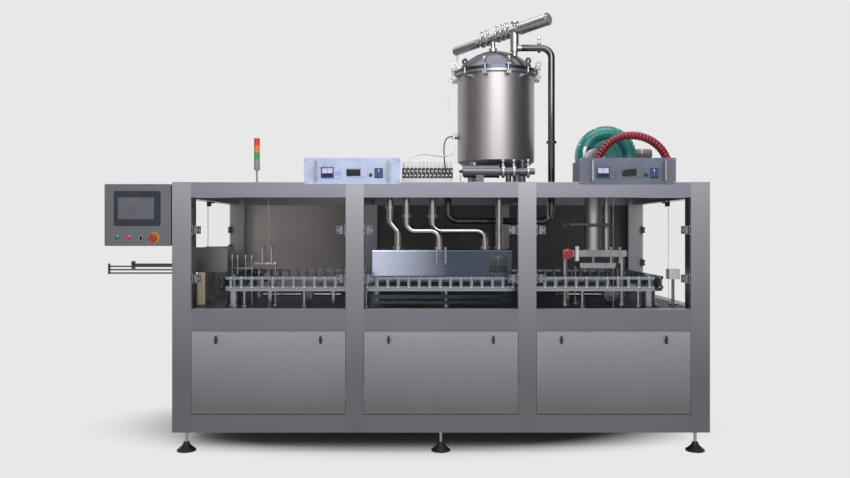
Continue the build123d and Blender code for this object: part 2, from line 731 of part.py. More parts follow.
# Fascia: bezel with the sunk screen, the collars round the controls and the emergency plate
def make_fascia():
    bezel_x = span_x(BEZEL_X)
    screen_x = span_x(SCREEN_X)
    with BuildPart() as bezel:
        with BuildSketch(Plane.XZ.offset(-FRONT)):
            with Locations((sum(bezel_x) / 2, sum(BEZEL_Z) / 2)):
                RectangleRounded(bezel_x[1] - bezel_x[0], BEZEL_Z[1] - BEZEL_Z[0], 8)
        extrude(amount=BEZEL_PROUD)
        chamfer(bezel.faces().sort_by(Axis.Y)[0].edges(), 1.5)
        with BuildSketch(Plane.XZ.offset(-FRONT + BEZEL_PROUD)):
            with Locations((sum(screen_x) / 2, sum(SCREEN_Z) / 2)):
                Rectangle(screen_x[1] - screen_x[0], SCREEN_Z[1] - SCREEN_Z[0])
        extrude(amount=-SCREEN_RECESS, mode=Mode.SUBTRACT)
    with BuildPart() as screen:
        with BuildSketch(Plane.XZ.offset(-FRONT + BEZEL_PROUD - SCREEN_RECESS)):
            with Locations((sum(screen_x) / 2, sum(SCREEN_Z) / 2)):
                Rectangle(screen_x[1] - screen_x[0], SCREEN_Z[1] - SCREEN_Z[0])
        extrude(amount=1)
    pieces = [bezel.part, screen.part]
    for x, radius in ((START_X, COLLAR_RADIUS), (STOP_X, COLLAR_RADIUS),
                      (SELECTOR_X, COLLAR_RADIUS), (EMERGENCY_X, EMERGENCY_PLATE)):
        with BuildPart() as collar:
            with BuildSketch(Plane.XZ.offset(-FRONT)):
                with Locations((across(x), CONTROL_Z)):
                    Circle(radius)
                    Circle(CONTROL_BORE, mode=Mode.SUBTRACT)
            extrude(amount=COLLAR_SHEET if radius == COLLAR_RADIUS else COLLAR_SHEET / 2)
            chamfer(collar.edges().group_by(Axis.Y)[0].sort_by(SortBy.RADIUS)[-1], 1)
        pieces.append(collar.part)
    save("control_fascia", *pieces)


def control_plane(x):
    """The face of the control box at one control, its normal towards the operator."""
    return Plane(origin=(across(x), FRONT, CONTROL_Z), x_dir=(1, 0, 0), z_dir=(0, -1, 0))


def make_controls():
    for name, x in (("start_button", START_X), ("stop_button", STOP_X)):
        with BuildPart() as button:
            with BuildSketch(control_plane(x).offset(-CONTROL_WELL + BUTTON_STROKE + 1)):
                Circle(BUTTON_RADIUS)
            extrude(amount=CONTROL_WELL - BUTTON_STROKE - 1 + COLLAR_SHEET + BUTTON_STROKE + 1)
            fillet(button.edges().group_by(Axis.Y)[0], 1.5)
        save(name, button.part)
    with BuildPart() as selector:
        with BuildSketch(control_plane(SELECTOR_X).offset(-CONTROL_WELL + 4)):
            Circle(BUTTON_RADIUS)
        extrude(amount=CONTROL_WELL - 4 + COLLAR_SHEET + 3)
        with BuildSketch(control_plane(SELECTOR_X).offset(COLLAR_SHEET + 3)):
            SlotOverall(20, 9, rotation=90)
        extrude(amount=11)
        chamfer(selector.edges().group_by(Axis.Y)[0], 1.5)
    save("selector_switch", selector.part)
    with BuildPart() as emergency:
        with BuildSketch(control_plane(EMERGENCY_X).offset(-CONTROL_WELL + EMERGENCY_STROKE + 1)):
            Circle(BUTTON_RADIUS)
        extrude(amount=CONTROL_WELL - EMERGENCY_STROKE - 1 + 12)
        with BuildSketch(control_plane(EMERGENCY_X).offset(12)):
            Circle(MUSHROOM_RADIUS)
        extrude(amount=16)
        fillet(emergency.edges().group_by(Axis.Y)[0], 6)
    save("emergency_stop", emergency.part)


# Infeed rails: three rods at the front and one thick rod behind, each with its end plate
def make_infeed():
    start = across(-INFEED_REACH)
    end = across(MAGAZINE_X[0])
    face = Plane(origin=(start, 0, 0), x_dir=(0, 1, 0), z_dir=(1, 0, 0))
    pieces = []
    with BuildPart() as front_rail:
        for level in RAIL_LEVELS:
            with BuildSketch(face):
                with Locations((inward(FRONT_RAIL_Y), level)):
                    Circle(RAIL_ROD)
            extrude(amount=end - start)
        with BuildSketch(face):
            with Locations((inward(FRONT_RAIL_Y), RAIL_LEVELS[1] + 5)):
                RectangleRounded(RAIL_PLATE[1], 57, 5)
        extrude(amount=RAIL_PLATE[0])
    pieces.append(front_rail.part)
    with BuildPart() as rear_rail:
        with BuildSketch(face.offset(60)):
            with Locations((inward(REAR_RAIL_Y), RAIL_LEVELS[0])):
                Circle(REAR_RAIL_ROD)
        extrude(amount=end - start - 60)
        with BuildSketch(face.offset(60)):
            with Locations((inward(REAR_RAIL_Y), RAIL_LEVELS[0])):
                RectangleRounded(30, 44, 6)
        extrude(amount=14)
    pieces.append(rear_rail.part)
    save("infeed_rails", *pieces)


# Blank magazine: two cheeks, a floor between them and a pair of legs on the deck
def make_magazine():
    x = span_x(MAGAZINE_X)
    inner = (inward(FRONT_RAIL_Y - 14), inward(REAR_RAIL_Y + 14))
    cheek_ys = ((inner[0], inner[0] + MAGAZINE_SHEET), (inner[1] - MAGAZINE_SHEET, inner[1]))
    pieces = []
    for y in cheek_ys:
        with BuildPart() as cheek:
            with BuildSketch(Plane.XZ.offset(-y[0])):
                with BuildLine():
                    Polyline((x[0], MAGAZINE_Z[0]), (x[1], MAGAZINE_Z[0]), (x[1], MAGAZINE_Z[1] - 30),
                             (x[1] - 30, MAGAZINE_Z[1]), (x[0], MAGAZINE_Z[1]), close=True)
                make_face()
            extrude(amount=-MAGAZINE_SHEET)
        pieces.append(cheek.part)
    pieces.append(bar(x, (cheek_ys[0][1], cheek_ys[1][0]), (MAGAZINE_Z[0], MAGAZINE_Z[0] + MAGAZINE_SHEET)))
    # The end wall that the rails butt against
    pieces.append(bar((x[0], x[0] + MAGAZINE_SHEET), (cheek_ys[0][1], cheek_ys[1][0]),
                      (MAGAZINE_Z[0] + MAGAZINE_SHEET, MAGAZINE_Z[0] + 60)))
    for y in cheek_ys:
        pieces.append(bar(span_x(MAGAZINE_LEG_X), y, (DECK_LEVEL, MAGAZINE_Z[0])))
    # A perforated feed bracket stands on the magazine's right-hand end
    with BuildPart() as bracket:
        with BuildSketch(Plane.XZ.offset(-cheek_ys[0][1])):
            with Locations((x[1] - 16, MAGAZINE_Z[0] + MAGAZINE_SHEET + 62)):
                RectangleRounded(32, 124, 4)
                with GridLocations(32, 30, 1, 4):
                    Circle(5, mode=Mode.SUBTRACT)
        extrude(amount=-5)
    pieces.append(bracket.part)
    save("carton_magazine", *pieces)


# The chain's closed route, walked by arc length
def loop_place(distance):
    """Position and heading on the rounded rectangle that the holders follow."""
    long_run = CHAIN_X[1] - CHAIN_X[0] - 2 * CHAIN_CORNER
    short_run = CHAIN_Y[1] - CHAIN_Y[0] - 2 * CHAIN_CORNER
    quarter = pi * CHAIN_CORNER / 2
    centres = ((CHAIN_X[1] - CHAIN_CORNER, CHAIN_Y[0] + CHAIN_CORNER),
               (CHAIN_X[1] - CHAIN_CORNER, CHAIN_Y[1] - CHAIN_CORNER),
               (CHAIN_X[0] + CHAIN_CORNER, CHAIN_Y[1] - CHAIN_CORNER),
               (CHAIN_X[0] + CHAIN_CORNER, CHAIN_Y[0] + CHAIN_CORNER))
    for side in range(4):
        run = long_run if side % 2 == 0 else short_run
        heading = 90.0 * side
        centre = centres[side]
        normal = radians(heading - 90)
        corner = (centre[0] + CHAIN_CORNER * cos(normal), centre[1] + CHAIN_CORNER * sin(normal))
        if distance < run:
            back = run - distance
            return (corner[0] - back * cos(radians(heading)),
                    corner[1] - back * sin(radians(heading)), heading)
        distance -= run
        if distance < quarter:
            turn = 90 * distance / quarter
            angle = radians(heading - 90 + turn)
            return (centre[0] + CHAIN_CORNER * cos(angle),
                    centre[1] + CHAIN_CORNER * sin(angle), heading + turn)
        distance -= quarter
    return loop_place(distance)


LOOP_LENGTH = (2 * (CHAIN_X[1] - CHAIN_X[0] - 2 * CHAIN_CORNER)
               + 2 * (CHAIN_Y[1] - CHAIN_Y[0] - 2 * CHAIN_CORNER) + 2 * pi * CHAIN_CORNER)
HOLDERS = round(LOOP_LENGTH / HOLDER_PITCH)


# Holder: an upright channel between an upper and a lower link plate
def make_chain():
    pitch = LOOP_LENGTH / HOLDERS
    post = HOLDER_POST
    with BuildPart() as holder:
        with BuildSketch(Plane.XY.offset(CHAIN_Z[0])):
            with BuildLine():
                Polyline((-post[0] / 2, -post[1] / 2), (post[0] / 2, -post[1] / 2),
                         (post[0] / 2, post[1] / 2 - 4), (post[0] / 2 - 4, post[1] / 2),
                         (4 - post[0] / 2, post[1] / 2), (-post[0] / 2, post[1] / 2 - 4), close=True)
            make_face()
        extrude(amount=CHAIN_Z[1] - CHAIN_Z[0])
        for low in (CHAIN_Z[0], CHAIN_Z[1] - LINK_HEIGHT):
            with BuildSketch(Plane.XY.offset(low)):
                with Locations((0, -(post[1] - LINK_SHEET) / 2)):
                    Rectangle(pitch - CLEAR, LINK_SHEET)
            extrude(amount=LINK_HEIGHT)
    holders = []
    for index in range(HOLDERS):
        x, y, heading = loop_place(index * pitch)
        holders.append(holder.part.moved(Location((across(x), inward(y), 0), (0, 0, heading))))
    save("holder_chain", *holders)


# Wear strips under the chain, bearing drums at its corners, posts, and the bars below the hood
def make_rails():
    pieces = []
    half = WEAR_STRIP[0] / 2
    low = CHAIN_Z[0] - WEAR_STRIP[1]
    x = (CHAIN_X[0] + CHAIN_CORNER, CHAIN_X[1] - CHAIN_CORNER)
    y = (CHAIN_Y[0] + CHAIN_CORNER, CHAIN_Y[1] - CHAIN_CORNER)
    for line in CHAIN_Y:
        pieces.append(bar(span_x(x), span_y((line - half, line + half)), (low, CHAIN_Z[0])))
    for line in CHAIN_X:
        pieces.append(bar(span_x((line - half, line + half)), span_y(y), (low, CHAIN_Z[0])))
    for index, (cx, cy) in enumerate(((x[1], y[0]), (x[1], y[1]), (x[0], y[1]), (x[0], y[0]))):
        with BuildPart() as corner:
            with BuildSketch(Plane(origin=(across(cx), inward(cy), low)).rotated((0, 0, 90 * index - 90))):
                with BuildLine():
                    CenterArc((0, 0), CHAIN_CORNER + half, 0, 90)
                    Line((0, CHAIN_CORNER + half), (0, CHAIN_CORNER - half))
                    CenterArc((0, 0), CHAIN_CORNER - half, 0, 90)
                    Line((CHAIN_CORNER - half, 0), (CHAIN_CORNER + half, 0))
                make_face()
            extrude(amount=WEAR_STRIP[1])
        pieces.append(corner.part)
    for name, (cx, cy) in WHEEL_PLACES.items():
        with BuildPart() as drum:
            with BuildSketch(Plane(origin=(across(cx), inward(cy), DECK_LEVEL))):
                Circle(DRUM_RADIUS + 12)
                Circle(SHAFT_RADIUS + RUNNING_FIT, mode=Mode.SUBTRACT)
            extrude(amount=10)
            with BuildSketch(Plane(origin=(across(cx), inward(cy), DECK_LEVEL + 10))):
                Circle(DRUM_RADIUS)
                Circle(SHAFT_RADIUS + RUNNING_FIT, mode=Mode.SUBTRACT)
            extrude(amount=DRUM_TOP - DECK_LEVEL - 10)
        pieces.append(drum.part)
    for line in CHAIN_Y:
        for place in RAIL_POST_XS:
            pieces.append(turned(Plane(origin=(across(place), inward(line), 0)),
                                 [(DECK_LEVEL, DECK_LEVEL + 8, 24), (DECK_LEVEL + 8, low, RAIL_POST_RADIUS)]))
    # Splash bars run in front of the posts below the hood, on short arms
    for level in UNDER_BAR_LEVELS:
        pieces.append(bar(span_x(UNDER_BAR_X), span_y((UNDER_BAR_Y - 4, UNDER_BAR_Y + 4)), level))
    for place in UNDER_BAR_X:
        edge = place if place < 1300 else place - 20
        pieces.append(bar(span_x((edge, edge + 20)), span_y((UNDER_BAR_Y + 4, UNDER_BAR_Y + 16)),
                          (DECK_LEVEL, UNDER_BAR_LEVELS[0][1])))
    # A white stop block stands beyond the chain's right-hand end
    stand = CHAIN_X[1] + 58
    pieces.append(turned(Plane(origin=(across(stand + 28), inward(260), 0)),
                         [(DECK_LEVEL, DECK_LEVEL + 8, 22), (DECK_LEVEL + 8, STOP_BLOCK_Z[0], 8)]))
    pieces.append(bar(span_x((stand, stand + 56)), span_y((230, 290)), STOP_BLOCK_Z))
    save("chain_rails", *pieces)


# Corner wheels: two lobed discs on a hub, over a shaft that runs in its drum
def make_wheels():
    pocket = 9.0
    for name, (cx, cy) in WHEEL_PLACES.items():
        foot = DECK_LEVEL + 6 if name != "drive_wheel" else DECK_LEVEL - DECK_SHEET - 40
        with BuildPart() as wheel:
            axis = Plane(origin=(across(cx), inward(cy), 0))
            with BuildSketch(axis.offset(foot)):
                Circle(SHAFT_RADIUS)
            extrude(amount=DRUM_TOP + CLEAR - foot)
            with BuildSketch(axis.offset(DRUM_TOP + CLEAR)):
                Circle(24)
            extrude(amount=CHAIN_Z[1] + 6 - DRUM_TOP - CLEAR)
            for low in (CHAIN_Z[0] + 8, CHAIN_Z[1] - 20):
                with BuildSketch(axis.offset(low)):
                    Circle(WHEEL_RADIUS)
                    with PolarLocations(WHEEL_RADIUS + 3, WHEEL_LOBES):
                        Circle(pocket, mode=Mode.SUBTRACT)
                extrude(amount=12)
        save(name, wheel.part)


# Filling hood: an open-bottomed sheet cover on four legs, with a barred window and three nozzles
def make_hood():
    x = span_x(HOOD_X)
    y = span_y(HOOD_Y)
    window_x = span_x(HOOD_WINDOW_X)
    with BuildPart() as hood:
        with BuildSketch(Plane.XY.offset(HOOD_Z[0])):
            with Locations((sum(x) / 2, sum(y) / 2)):
                Rectangle(x[1] - x[0], y[1] - y[0])
        extrude(amount=HOOD_Z[1] - HOOD_Z[0])
        fillet(hood.faces().sort_by(Axis.Z)[-1].edges(), 8)
        offset(amount=-HOOD_SHEET, openings=hood.faces().sort_by(Axis.Z)[0])
        with BuildSketch(Plane.XZ.offset(-y[0])):
            with Locations((sum(window_x) / 2, sum(HOOD_WINDOW_Z) / 2)):
                Rectangle(window_x[1] - window_x[0], HOOD_WINDOW_Z[1] - HOOD_WINDOW_Z[0])
                Rectangle(window_x[1] - window_x[0], 9, mode=Mode.SUBTRACT)
        extrude(amount=-HOOD_SHEET, mode=Mode.SUBTRACT)
    pieces = [hood.part]
    leg_y = (y[1] - HOOD_SHEET - HOOD_LEG, y[1] - HOOD_SHEET)
    for start in (x[0] + HOOD_SHEET, x[1] - HOOD_SHEET - HOOD_LEG):
        pieces.append(bar((start, start + HOOD_LEG), leg_y, (DECK_LEVEL, HOOD_Z[1] - 20)))
    roof = HOOD_Z[1] - HOOD_SHEET
    for place in NOZZLES:
        pieces.append(turned(Plane(origin=(across(place[0]), inward(place[1]), 0)),
                             [(HOOD_Z[0] + 14, HOOD_Z[0] + 40, NOZZLE_TIP), (HOOD_Z[0] + 40, roof,
                                                                             NOZZLE_RADIUS)]))
    save("filling_hood", *pieces)


# Process pipes in the middle bay, from the roof down to the hood
def make_pipes():
    top = ROOF_UNDER
    deck = HOOD_Z[1]
    routes = (
        (((1082, top), (1082, 1157), (1124, 1104), (1124, deck)), 222.0),
        (((1170, top), (1170, 1111), (1340, 1111), (1340, deck)), 190.0),
        (((1307, top), (1307, 1111), (1585, 1111), (1585, deck)), 262.0),
        (((1656, top), (1656, deck)), 200.0),
    )
    pieces = []
    for points, y in routes:
        route = [(across(x), inward(y), z) for x, z in points]
        bend = 28.0 if abs(points[1][0] - points[-1][0]) < 60 else PIPE_BEND
        with BuildPart() as line:
            add(pipe_run(route, PIPE, bend))
            for end, side in ((points[0], -1), (points[-1], 1)):
                z = end[1] if side > 0 else end[1] - CLAMP_RING_WIDTH
                with BuildSketch(Plane(origin=(across(end[0]), inward(y), z))):
                    Circle(CLAMP_RING)
                extrude(amount=CLAMP_RING_WIDTH)
            if len(points) > 2:
                # Clamped joint half way down the long drop
                with BuildSketch(Plane(origin=(across(points[1][0]), inward(y), points[1][1] + 70))):
                    Circle(CLAMP_RING)
                extrude(amount=CLAMP_RING_WIDTH)
        pieces.append(line.part)
    save("process_pipes", *pieces)


# Supply pipe from the lid valve across, down through the roof and back up to its underside
def make_supply():
    points = [
        (across(SECOND_BODY_X) + SUPPLY_BRANCH, inward(SUPPLY_Y), SUPPLY_LEVEL),
        (across(SUPPLY_X[0]), inward(SUPPLY_Y), SUPPLY_LEVEL),
        (across(SUPPLY_X[0]), inward(SUPPLY_Y), SUPPLY_LOW),
        (across(SUPPLY_X[1]), inward(SUPPLY_Y), SUPPLY_LOW),
        (across(SUPPLY_X[1]), inward(SUPPLY_Y), ROOF_UNDER),
    ]
    joint_x = across(SUPPLY_X[0] - SUPPLY_JOINT)
    ring = SUPPLY_PIPE / 2 + 9
    with BuildPart() as supply:
        add(pipe_run(points, SUPPLY_PIPE, 57.0))
        with BuildSketch(Plane.YZ.offset(joint_x - CLAMP_RING_WIDTH / 2)):
            with Locations((inward(SUPPLY_Y), SUPPLY_LEVEL)):
                Circle(ring)
        extrude(amount=CLAMP_RING_WIDTH)
        for level in (BODY_TOP + 240, ROOF_UNDER - 40):
            with BuildSketch(Plane(origin=(across(SUPPLY_X[0]), inward(SUPPLY_Y), level))):
                Circle(ring)
            extrude(amount=CLAMP_RING_WIDTH)
        with BuildSketch(Plane(origin=(across(SUPPLY_X[1]), inward(SUPPLY_Y),
                                       ROOF_UNDER - CLAMP_RING_WIDTH))):
            Circle(ring)
        extrude(amount=CLAMP_RING_WIDTH)
    save("supply_pipe", supply.part)


# Tank shell: dished bottom, straight side and flange, hollow, on four legs
def make_tank():
    axis_point = (across(TANK_X), inward(TANK_Y), 0)
    side = Plane(origin=axis_point, x_dir=(1, 0, 0), z_dir=(0, -1, 0))
    inner = TANK_RADIUS - TANK_WALL
    with BuildPart() as shell:
        with BuildSketch(side):
            with BuildLine():
                TangentArc((0, TANK_BOTTOM), (TANK_RADIUS, TANK_Z[0]), tangent=(1, 0))
                Line((TANK_RADIUS, TANK_Z[0]), (TANK_RADIUS, TANK_Z[1]))
                Line((TANK_RADIUS, TANK_Z[1]), (FLANGE_RADIUS, TANK_Z[1]))
                Line((FLANGE_RADIUS, TANK_Z[1]), (FLANGE_RADIUS, TANK_Z[1] + FLANGE_SHEET))
                Line((FLANGE_RADIUS, TANK_Z[1] + FLANGE_SHEET), (inner, TANK_Z[1] + FLANGE_SHEET))
                Line((inner, TANK_Z[1] + FLANGE_SHEET), (inner, TANK_Z[0] + 2))
                TangentArc((0, TANK_BOTTOM + TANK_WALL), (inner, TANK_Z[0] + 2), tangent=(1, 0))
                Line((0, TANK_BOTTOM + TANK_WALL), (0, TANK_BOTTOM))
            make_face()
        revolve(axis=Axis(axis_point, (0, 0, 1)))
        # Sensor boss half way up the left side
        with BuildSketch(Plane(origin=(across(TANK_X) - TANK_RADIUS - 30, inward(TANK_Y), SENSOR_Z),
                               z_dir=(1, 0, 0))):
            Circle(16)
        extrude(until=Until.NEXT)
    with BuildPart() as legs:
        for low, high, radius in ((BODY_TOP, BODY_TOP + 8, TANK_LEG_RADIUS + 18),
                                  (BODY_TOP + 8, TANK_Z[0], TANK_LEG_RADIUS)):
            with BuildSketch(Plane(origin=(across(TANK_X), inward(TANK_Y), low))):
                with PolarLocations(TANK_LEG_CIRCLE, TANK_LEGS, start_angle=45):
                    Circle(radius)
            extrude(amount=high - low)
        with BuildSketch(side):
            with BuildLine():
                TangentArc((0, TANK_BOTTOM - CLEAR), (TANK_RADIUS, TANK_Z[0] - CLEAR), tangent=(1, 0))
                Line((TANK_RADIUS, TANK_Z[0] - CLEAR), (TANK_RADIUS, TANK_Z[1]))
                Line((TANK_RADIUS, TANK_Z[1]), (0, TANK_Z[1]))
                Line((0, TANK_Z[1]), (0, TANK_BOTTOM - CLEAR))
            make_face()
        revolve(axis=Axis(axis_point, (0, 0, 1)), mode=Mode.SUBTRACT)
    save("tank_shell", shell.part, legs.part)


# Tank lid: gasket, flange and dished crown with the centre port
def make_lid():
    seat = TANK_Z[1] + FLANGE_SHEET
    axis_point = (across(TANK_X), inward(TANK_Y), 0)
    rim = seat + GASKET_SHEET + FLANGE_SHEET
    with BuildPart() as gasket:
        with BuildSketch(Plane(origin=(across(TANK_X), inward(TANK_Y), seat))):
            Circle(FLANGE_RADIUS - 4)
            Circle(TANK_RADIUS - TANK_WALL, mode=Mode.SUBTRACT)
        extrude(amount=GASKET_SHEET)
    with BuildPart() as lid:
        with BuildSketch(Plane(origin=axis_point, x_dir=(1, 0, 0), z_dir=(0, -1, 0))):
            with BuildLine():
                Line((0, seat + GASKET_SHEET), (FLANGE_RADIUS, seat + GASKET_SHEET))
                Line((FLANGE_RADIUS, seat + GASKET_SHEET), (FLANGE_RADIUS, rim))
                Line((FLANGE_RADIUS, rim), (TANK_RADIUS, rim))
                TangentArc((0, LID_TOP), (TANK_RADIUS, rim), tangent=(1, 0))
                Line((0, LID_TOP), (0, seat + GASKET_SHEET))
            make_face()
        revolve(axis=Axis(axis_point, (0, 0, 1)))
    save("tank_lid", gasket.part, lid.part)


# Swing bolts: lug, bolt, bridge over the lid's flange and ring nut, all round the rim
def make_swing_bolts():
    under = TANK_Z[1]
    over = under + 2 * FLANGE_SHEET + GASKET_SHEET
    with BuildPart() as clamp:
        with BuildSketch(Plane.XY.offset(under - 18)):
            with Locations(((TANK_RADIUS + CLEAR + BOLT_CIRCLE + 12) / 2, 0)):
                Rectangle(BOLT_CIRCLE + 12 - TANK_RADIUS - CLEAR, 26)
        extrude(amount=14)
        with BuildSketch(Plane.XY.offset(under - 4)):
            with Locations((BOLT_CIRCLE, 0)):
                Circle(BOLT_RADIUS)
        extrude(amount=over + 18 - under)
        with BuildSketch(Plane.XY.offset(over)):
            with Locations((BOLT_CIRCLE - 6, 0)):
                Rectangle(36, 22)
        extrude(amount=8)
        with BuildSketch(Plane.XZ.offset(-RING_NUT[2] / 2)):
            with Locations((BOLT_CIRCLE, over + 10 + RING_NUT[0])):
                Circle(RING_NUT[0])
                Circle(RING_NUT[1], mode=Mode.SUBTRACT)
        extrude(amount=RING_NUT[2])
    bolts = []
    for index in range(SWING_BOLTS):
        angle = SWING_BOLT_START + index * 360 / SWING_BOLTS - 90
        bolts.append(clamp.part.moved(Location((across(TANK_X), inward(TANK_Y), 0), (0, 0, angle))))
    save("swing_bolts", *bolts)


# Valve line on the lid: two actuators, clamps and two bodies, all on one tilted axis
def make_lid_valves():
    turn = radians(LID_LINE_TURN)
    tilt = radians(LID_LINE_TILT)
    heading = Vector(cos(tilt) * cos(turn), cos(tilt) * sin(turn), sin(tilt))
    centre = Vector(across(LID_LINE_X), inward(LID_LINE_Y), LID_LINE_Z)
    line = Plane(origin=centre, z_dir=heading)
    second = centre + heading * SECOND_BODY
    steps = (
        (-277, -270, 22), (-270, -107, 26), (-107, -101, 22), (-101, -78, 15), (-78, -64, 27),
        (-64, -42, 17), (-42, -28, 27), (-28, 28, 24), (28, 42, 27), (42, 62, 17), (62, 78, 27),
        (78, 96, 19), (96, 108, 27), (108, 123, 19), (123, 171, 26), (171, 186, 20),
        (186, 200, 35), (200, 356, 34), (356, 364, 36), (364, 373, 28),
    )
    with BuildPart() as valves:
        add(turned(line, steps))
        # Neck from the centre body down to the lid's port
        with BuildSketch(Plane(origin=(centre.X, centre.Y, LID_TOP - 3))):
            Circle(24)
        extrude(amount=20)
        with BuildSketch(Plane(origin=(centre.X, centre.Y, LID_TOP + 17))):
            Circle(13)
        extrude(amount=LID_LINE_Z - LID_TOP - 17)
        # Second body's upright with the round knob above
        with BuildSketch(Plane(origin=(second.X, second.Y, SUPPLY_LEVEL - 20))):
            Circle(24)
        extrude(amount=SECOND_BODY_Z - SUPPLY_LEVEL + 20)
        with BuildSketch(Plane(origin=(second.X, second.Y, SECOND_BODY_Z))):
            Circle(10)
        extrude(amount=40)
        with BuildSketch(Plane(origin=(second.X, second.Y, SECOND_BODY_Z + 40))):
            Circle(23.5)
        extrude(amount=9)
        # Tank vent port under the second body, leaning on the crown
        with BuildSketch(Plane(origin=(second.X, second.Y, LID_TOP - 92))):
            Circle(17)
        extrude(amount=SUPPLY_LEVEL - LID_TOP + 72)
        # Branch that the supply pipe joins
        with BuildSketch(Plane.YZ.offset(second.X)):
            with Locations((second.Y, SUPPLY_LEVEL)):
                Circle(SUPPLY_PIPE / 2)
        extrude(amount=SUPPLY_BRANCH)
        # Air fitting under the left actuator's end
        with BuildSketch(Plane(origin=(across(AIR_ROUTE[-1][0]), inward(AIR_ROUTE[-1][1]),
                                       AIR_ROUTE[-1][2]))):
            Circle(6.5)
        extrude(amount=30)
    with BuildPart() as trimmed:
        add(valves.part)
        add(lid_block(), mode=Mode.SUBTRACT)
    save("lid_valves", trimmed.part)


def lid_block():
    """The space that the lid itself fills, for ports that are cut to its crown."""
    seat = TANK_Z[1] + FLANGE_SHEET + GASKET_SHEET
    rim = seat + FLANGE_SHEET
    axis_point = (across(TANK_X), inward(TANK_Y), 0)
    with BuildPart() as crown:
        with BuildSketch(Plane(origin=axis_point, x_dir=(1, 0, 0), z_dir=(0, -1, 0))):
            with BuildLine():
                Line((0, seat), (TANK_RADIUS + CLEAR, seat))
                Line((TANK_RADIUS + CLEAR, seat), (TANK_RADIUS + CLEAR, rim + CLEAR))
                TangentArc((0, LID_TOP + CLEAR), (TANK_RADIUS + CLEAR, rim + CLEAR), tangent=(1, 0))
                Line((0, LID_TOP + CLEAR), (0, seat))
            make_face()
        revolve(axis=Axis(axis_point, (0, 0, 1)))
    return crown.part


# Outlet valve in front of the tank's foot: actuator, clamps, body with two ports, and its saddle
def make_outlet():
    line = Plane(origin=(LEFT, inward(OUTLET_Y), OUTLET_Z), z_dir=(1, 0, 0))
    steps = (
        (1468, 1474, 28), (1474, 1655, 34), (1655, 1663, 36), (1663, 1678, 20), (1678, 1692, 27),
        (1692, 1736, 24), (1736, 1750, 27), (1750, 1768, 17), (1768, 1812, 24), (1812, 1826, 27),
        (1826, 1854, 17),
    )
    with BuildPart() as outlet:
        add(turned(line, steps))
        with BuildSketch(Plane(origin=(across(1714), inward(OUTLET_Y), BODY_TOP))):
            Circle(27)
        extrude(amount=10)
        with BuildSketch(Plane(origin=(across(1714), inward(OUTLET_Y), BODY_TOP + 10))):
            Circle(15.5)
        extrude(amount=OUTLET_Z - BODY_TOP - 10)
        with BuildSketch(Plane(origin=(across(1789), inward(OUTLET_Y), OUTLET_Z))):
            Circle(15.5)
        extrude(amount=48)
        with BuildSketch(Plane(origin=(across(1789), inward(OUTLET_Y), OUTLET_Z + 48))):
            Circle(25)
        extrude(amount=12)
        # Saddle under the actuator
        with BuildSketch(Plane(origin=(across(1560), inward(OUTLET_Y), BODY_TOP))):
            Rectangle(40, 56)
        extrude(amount=OUTLET_Z - BODY_TOP - 20)
    save("outlet_valve", outlet.part)


# Signal tower: foot, pole, housing and three lenses
def make_tower():
    base = Plane(origin=(across(TOWER_X), inward(TOWER_Y), 0))
    body = turned(base, [(BODY_TOP, BODY_TOP + 6, 18), (BODY_TOP + 6, 1421, 4.5), (1421, 1473, 15)])
    pieces = [body]
    for low, high in ((1473, 1510), (1510, 1549), (1549, 1584)):
        pieces.append(turned(base, [(low, high - 2, 15), (high - 2, high, 13.5)]))
    save("signal_tower", *pieces)


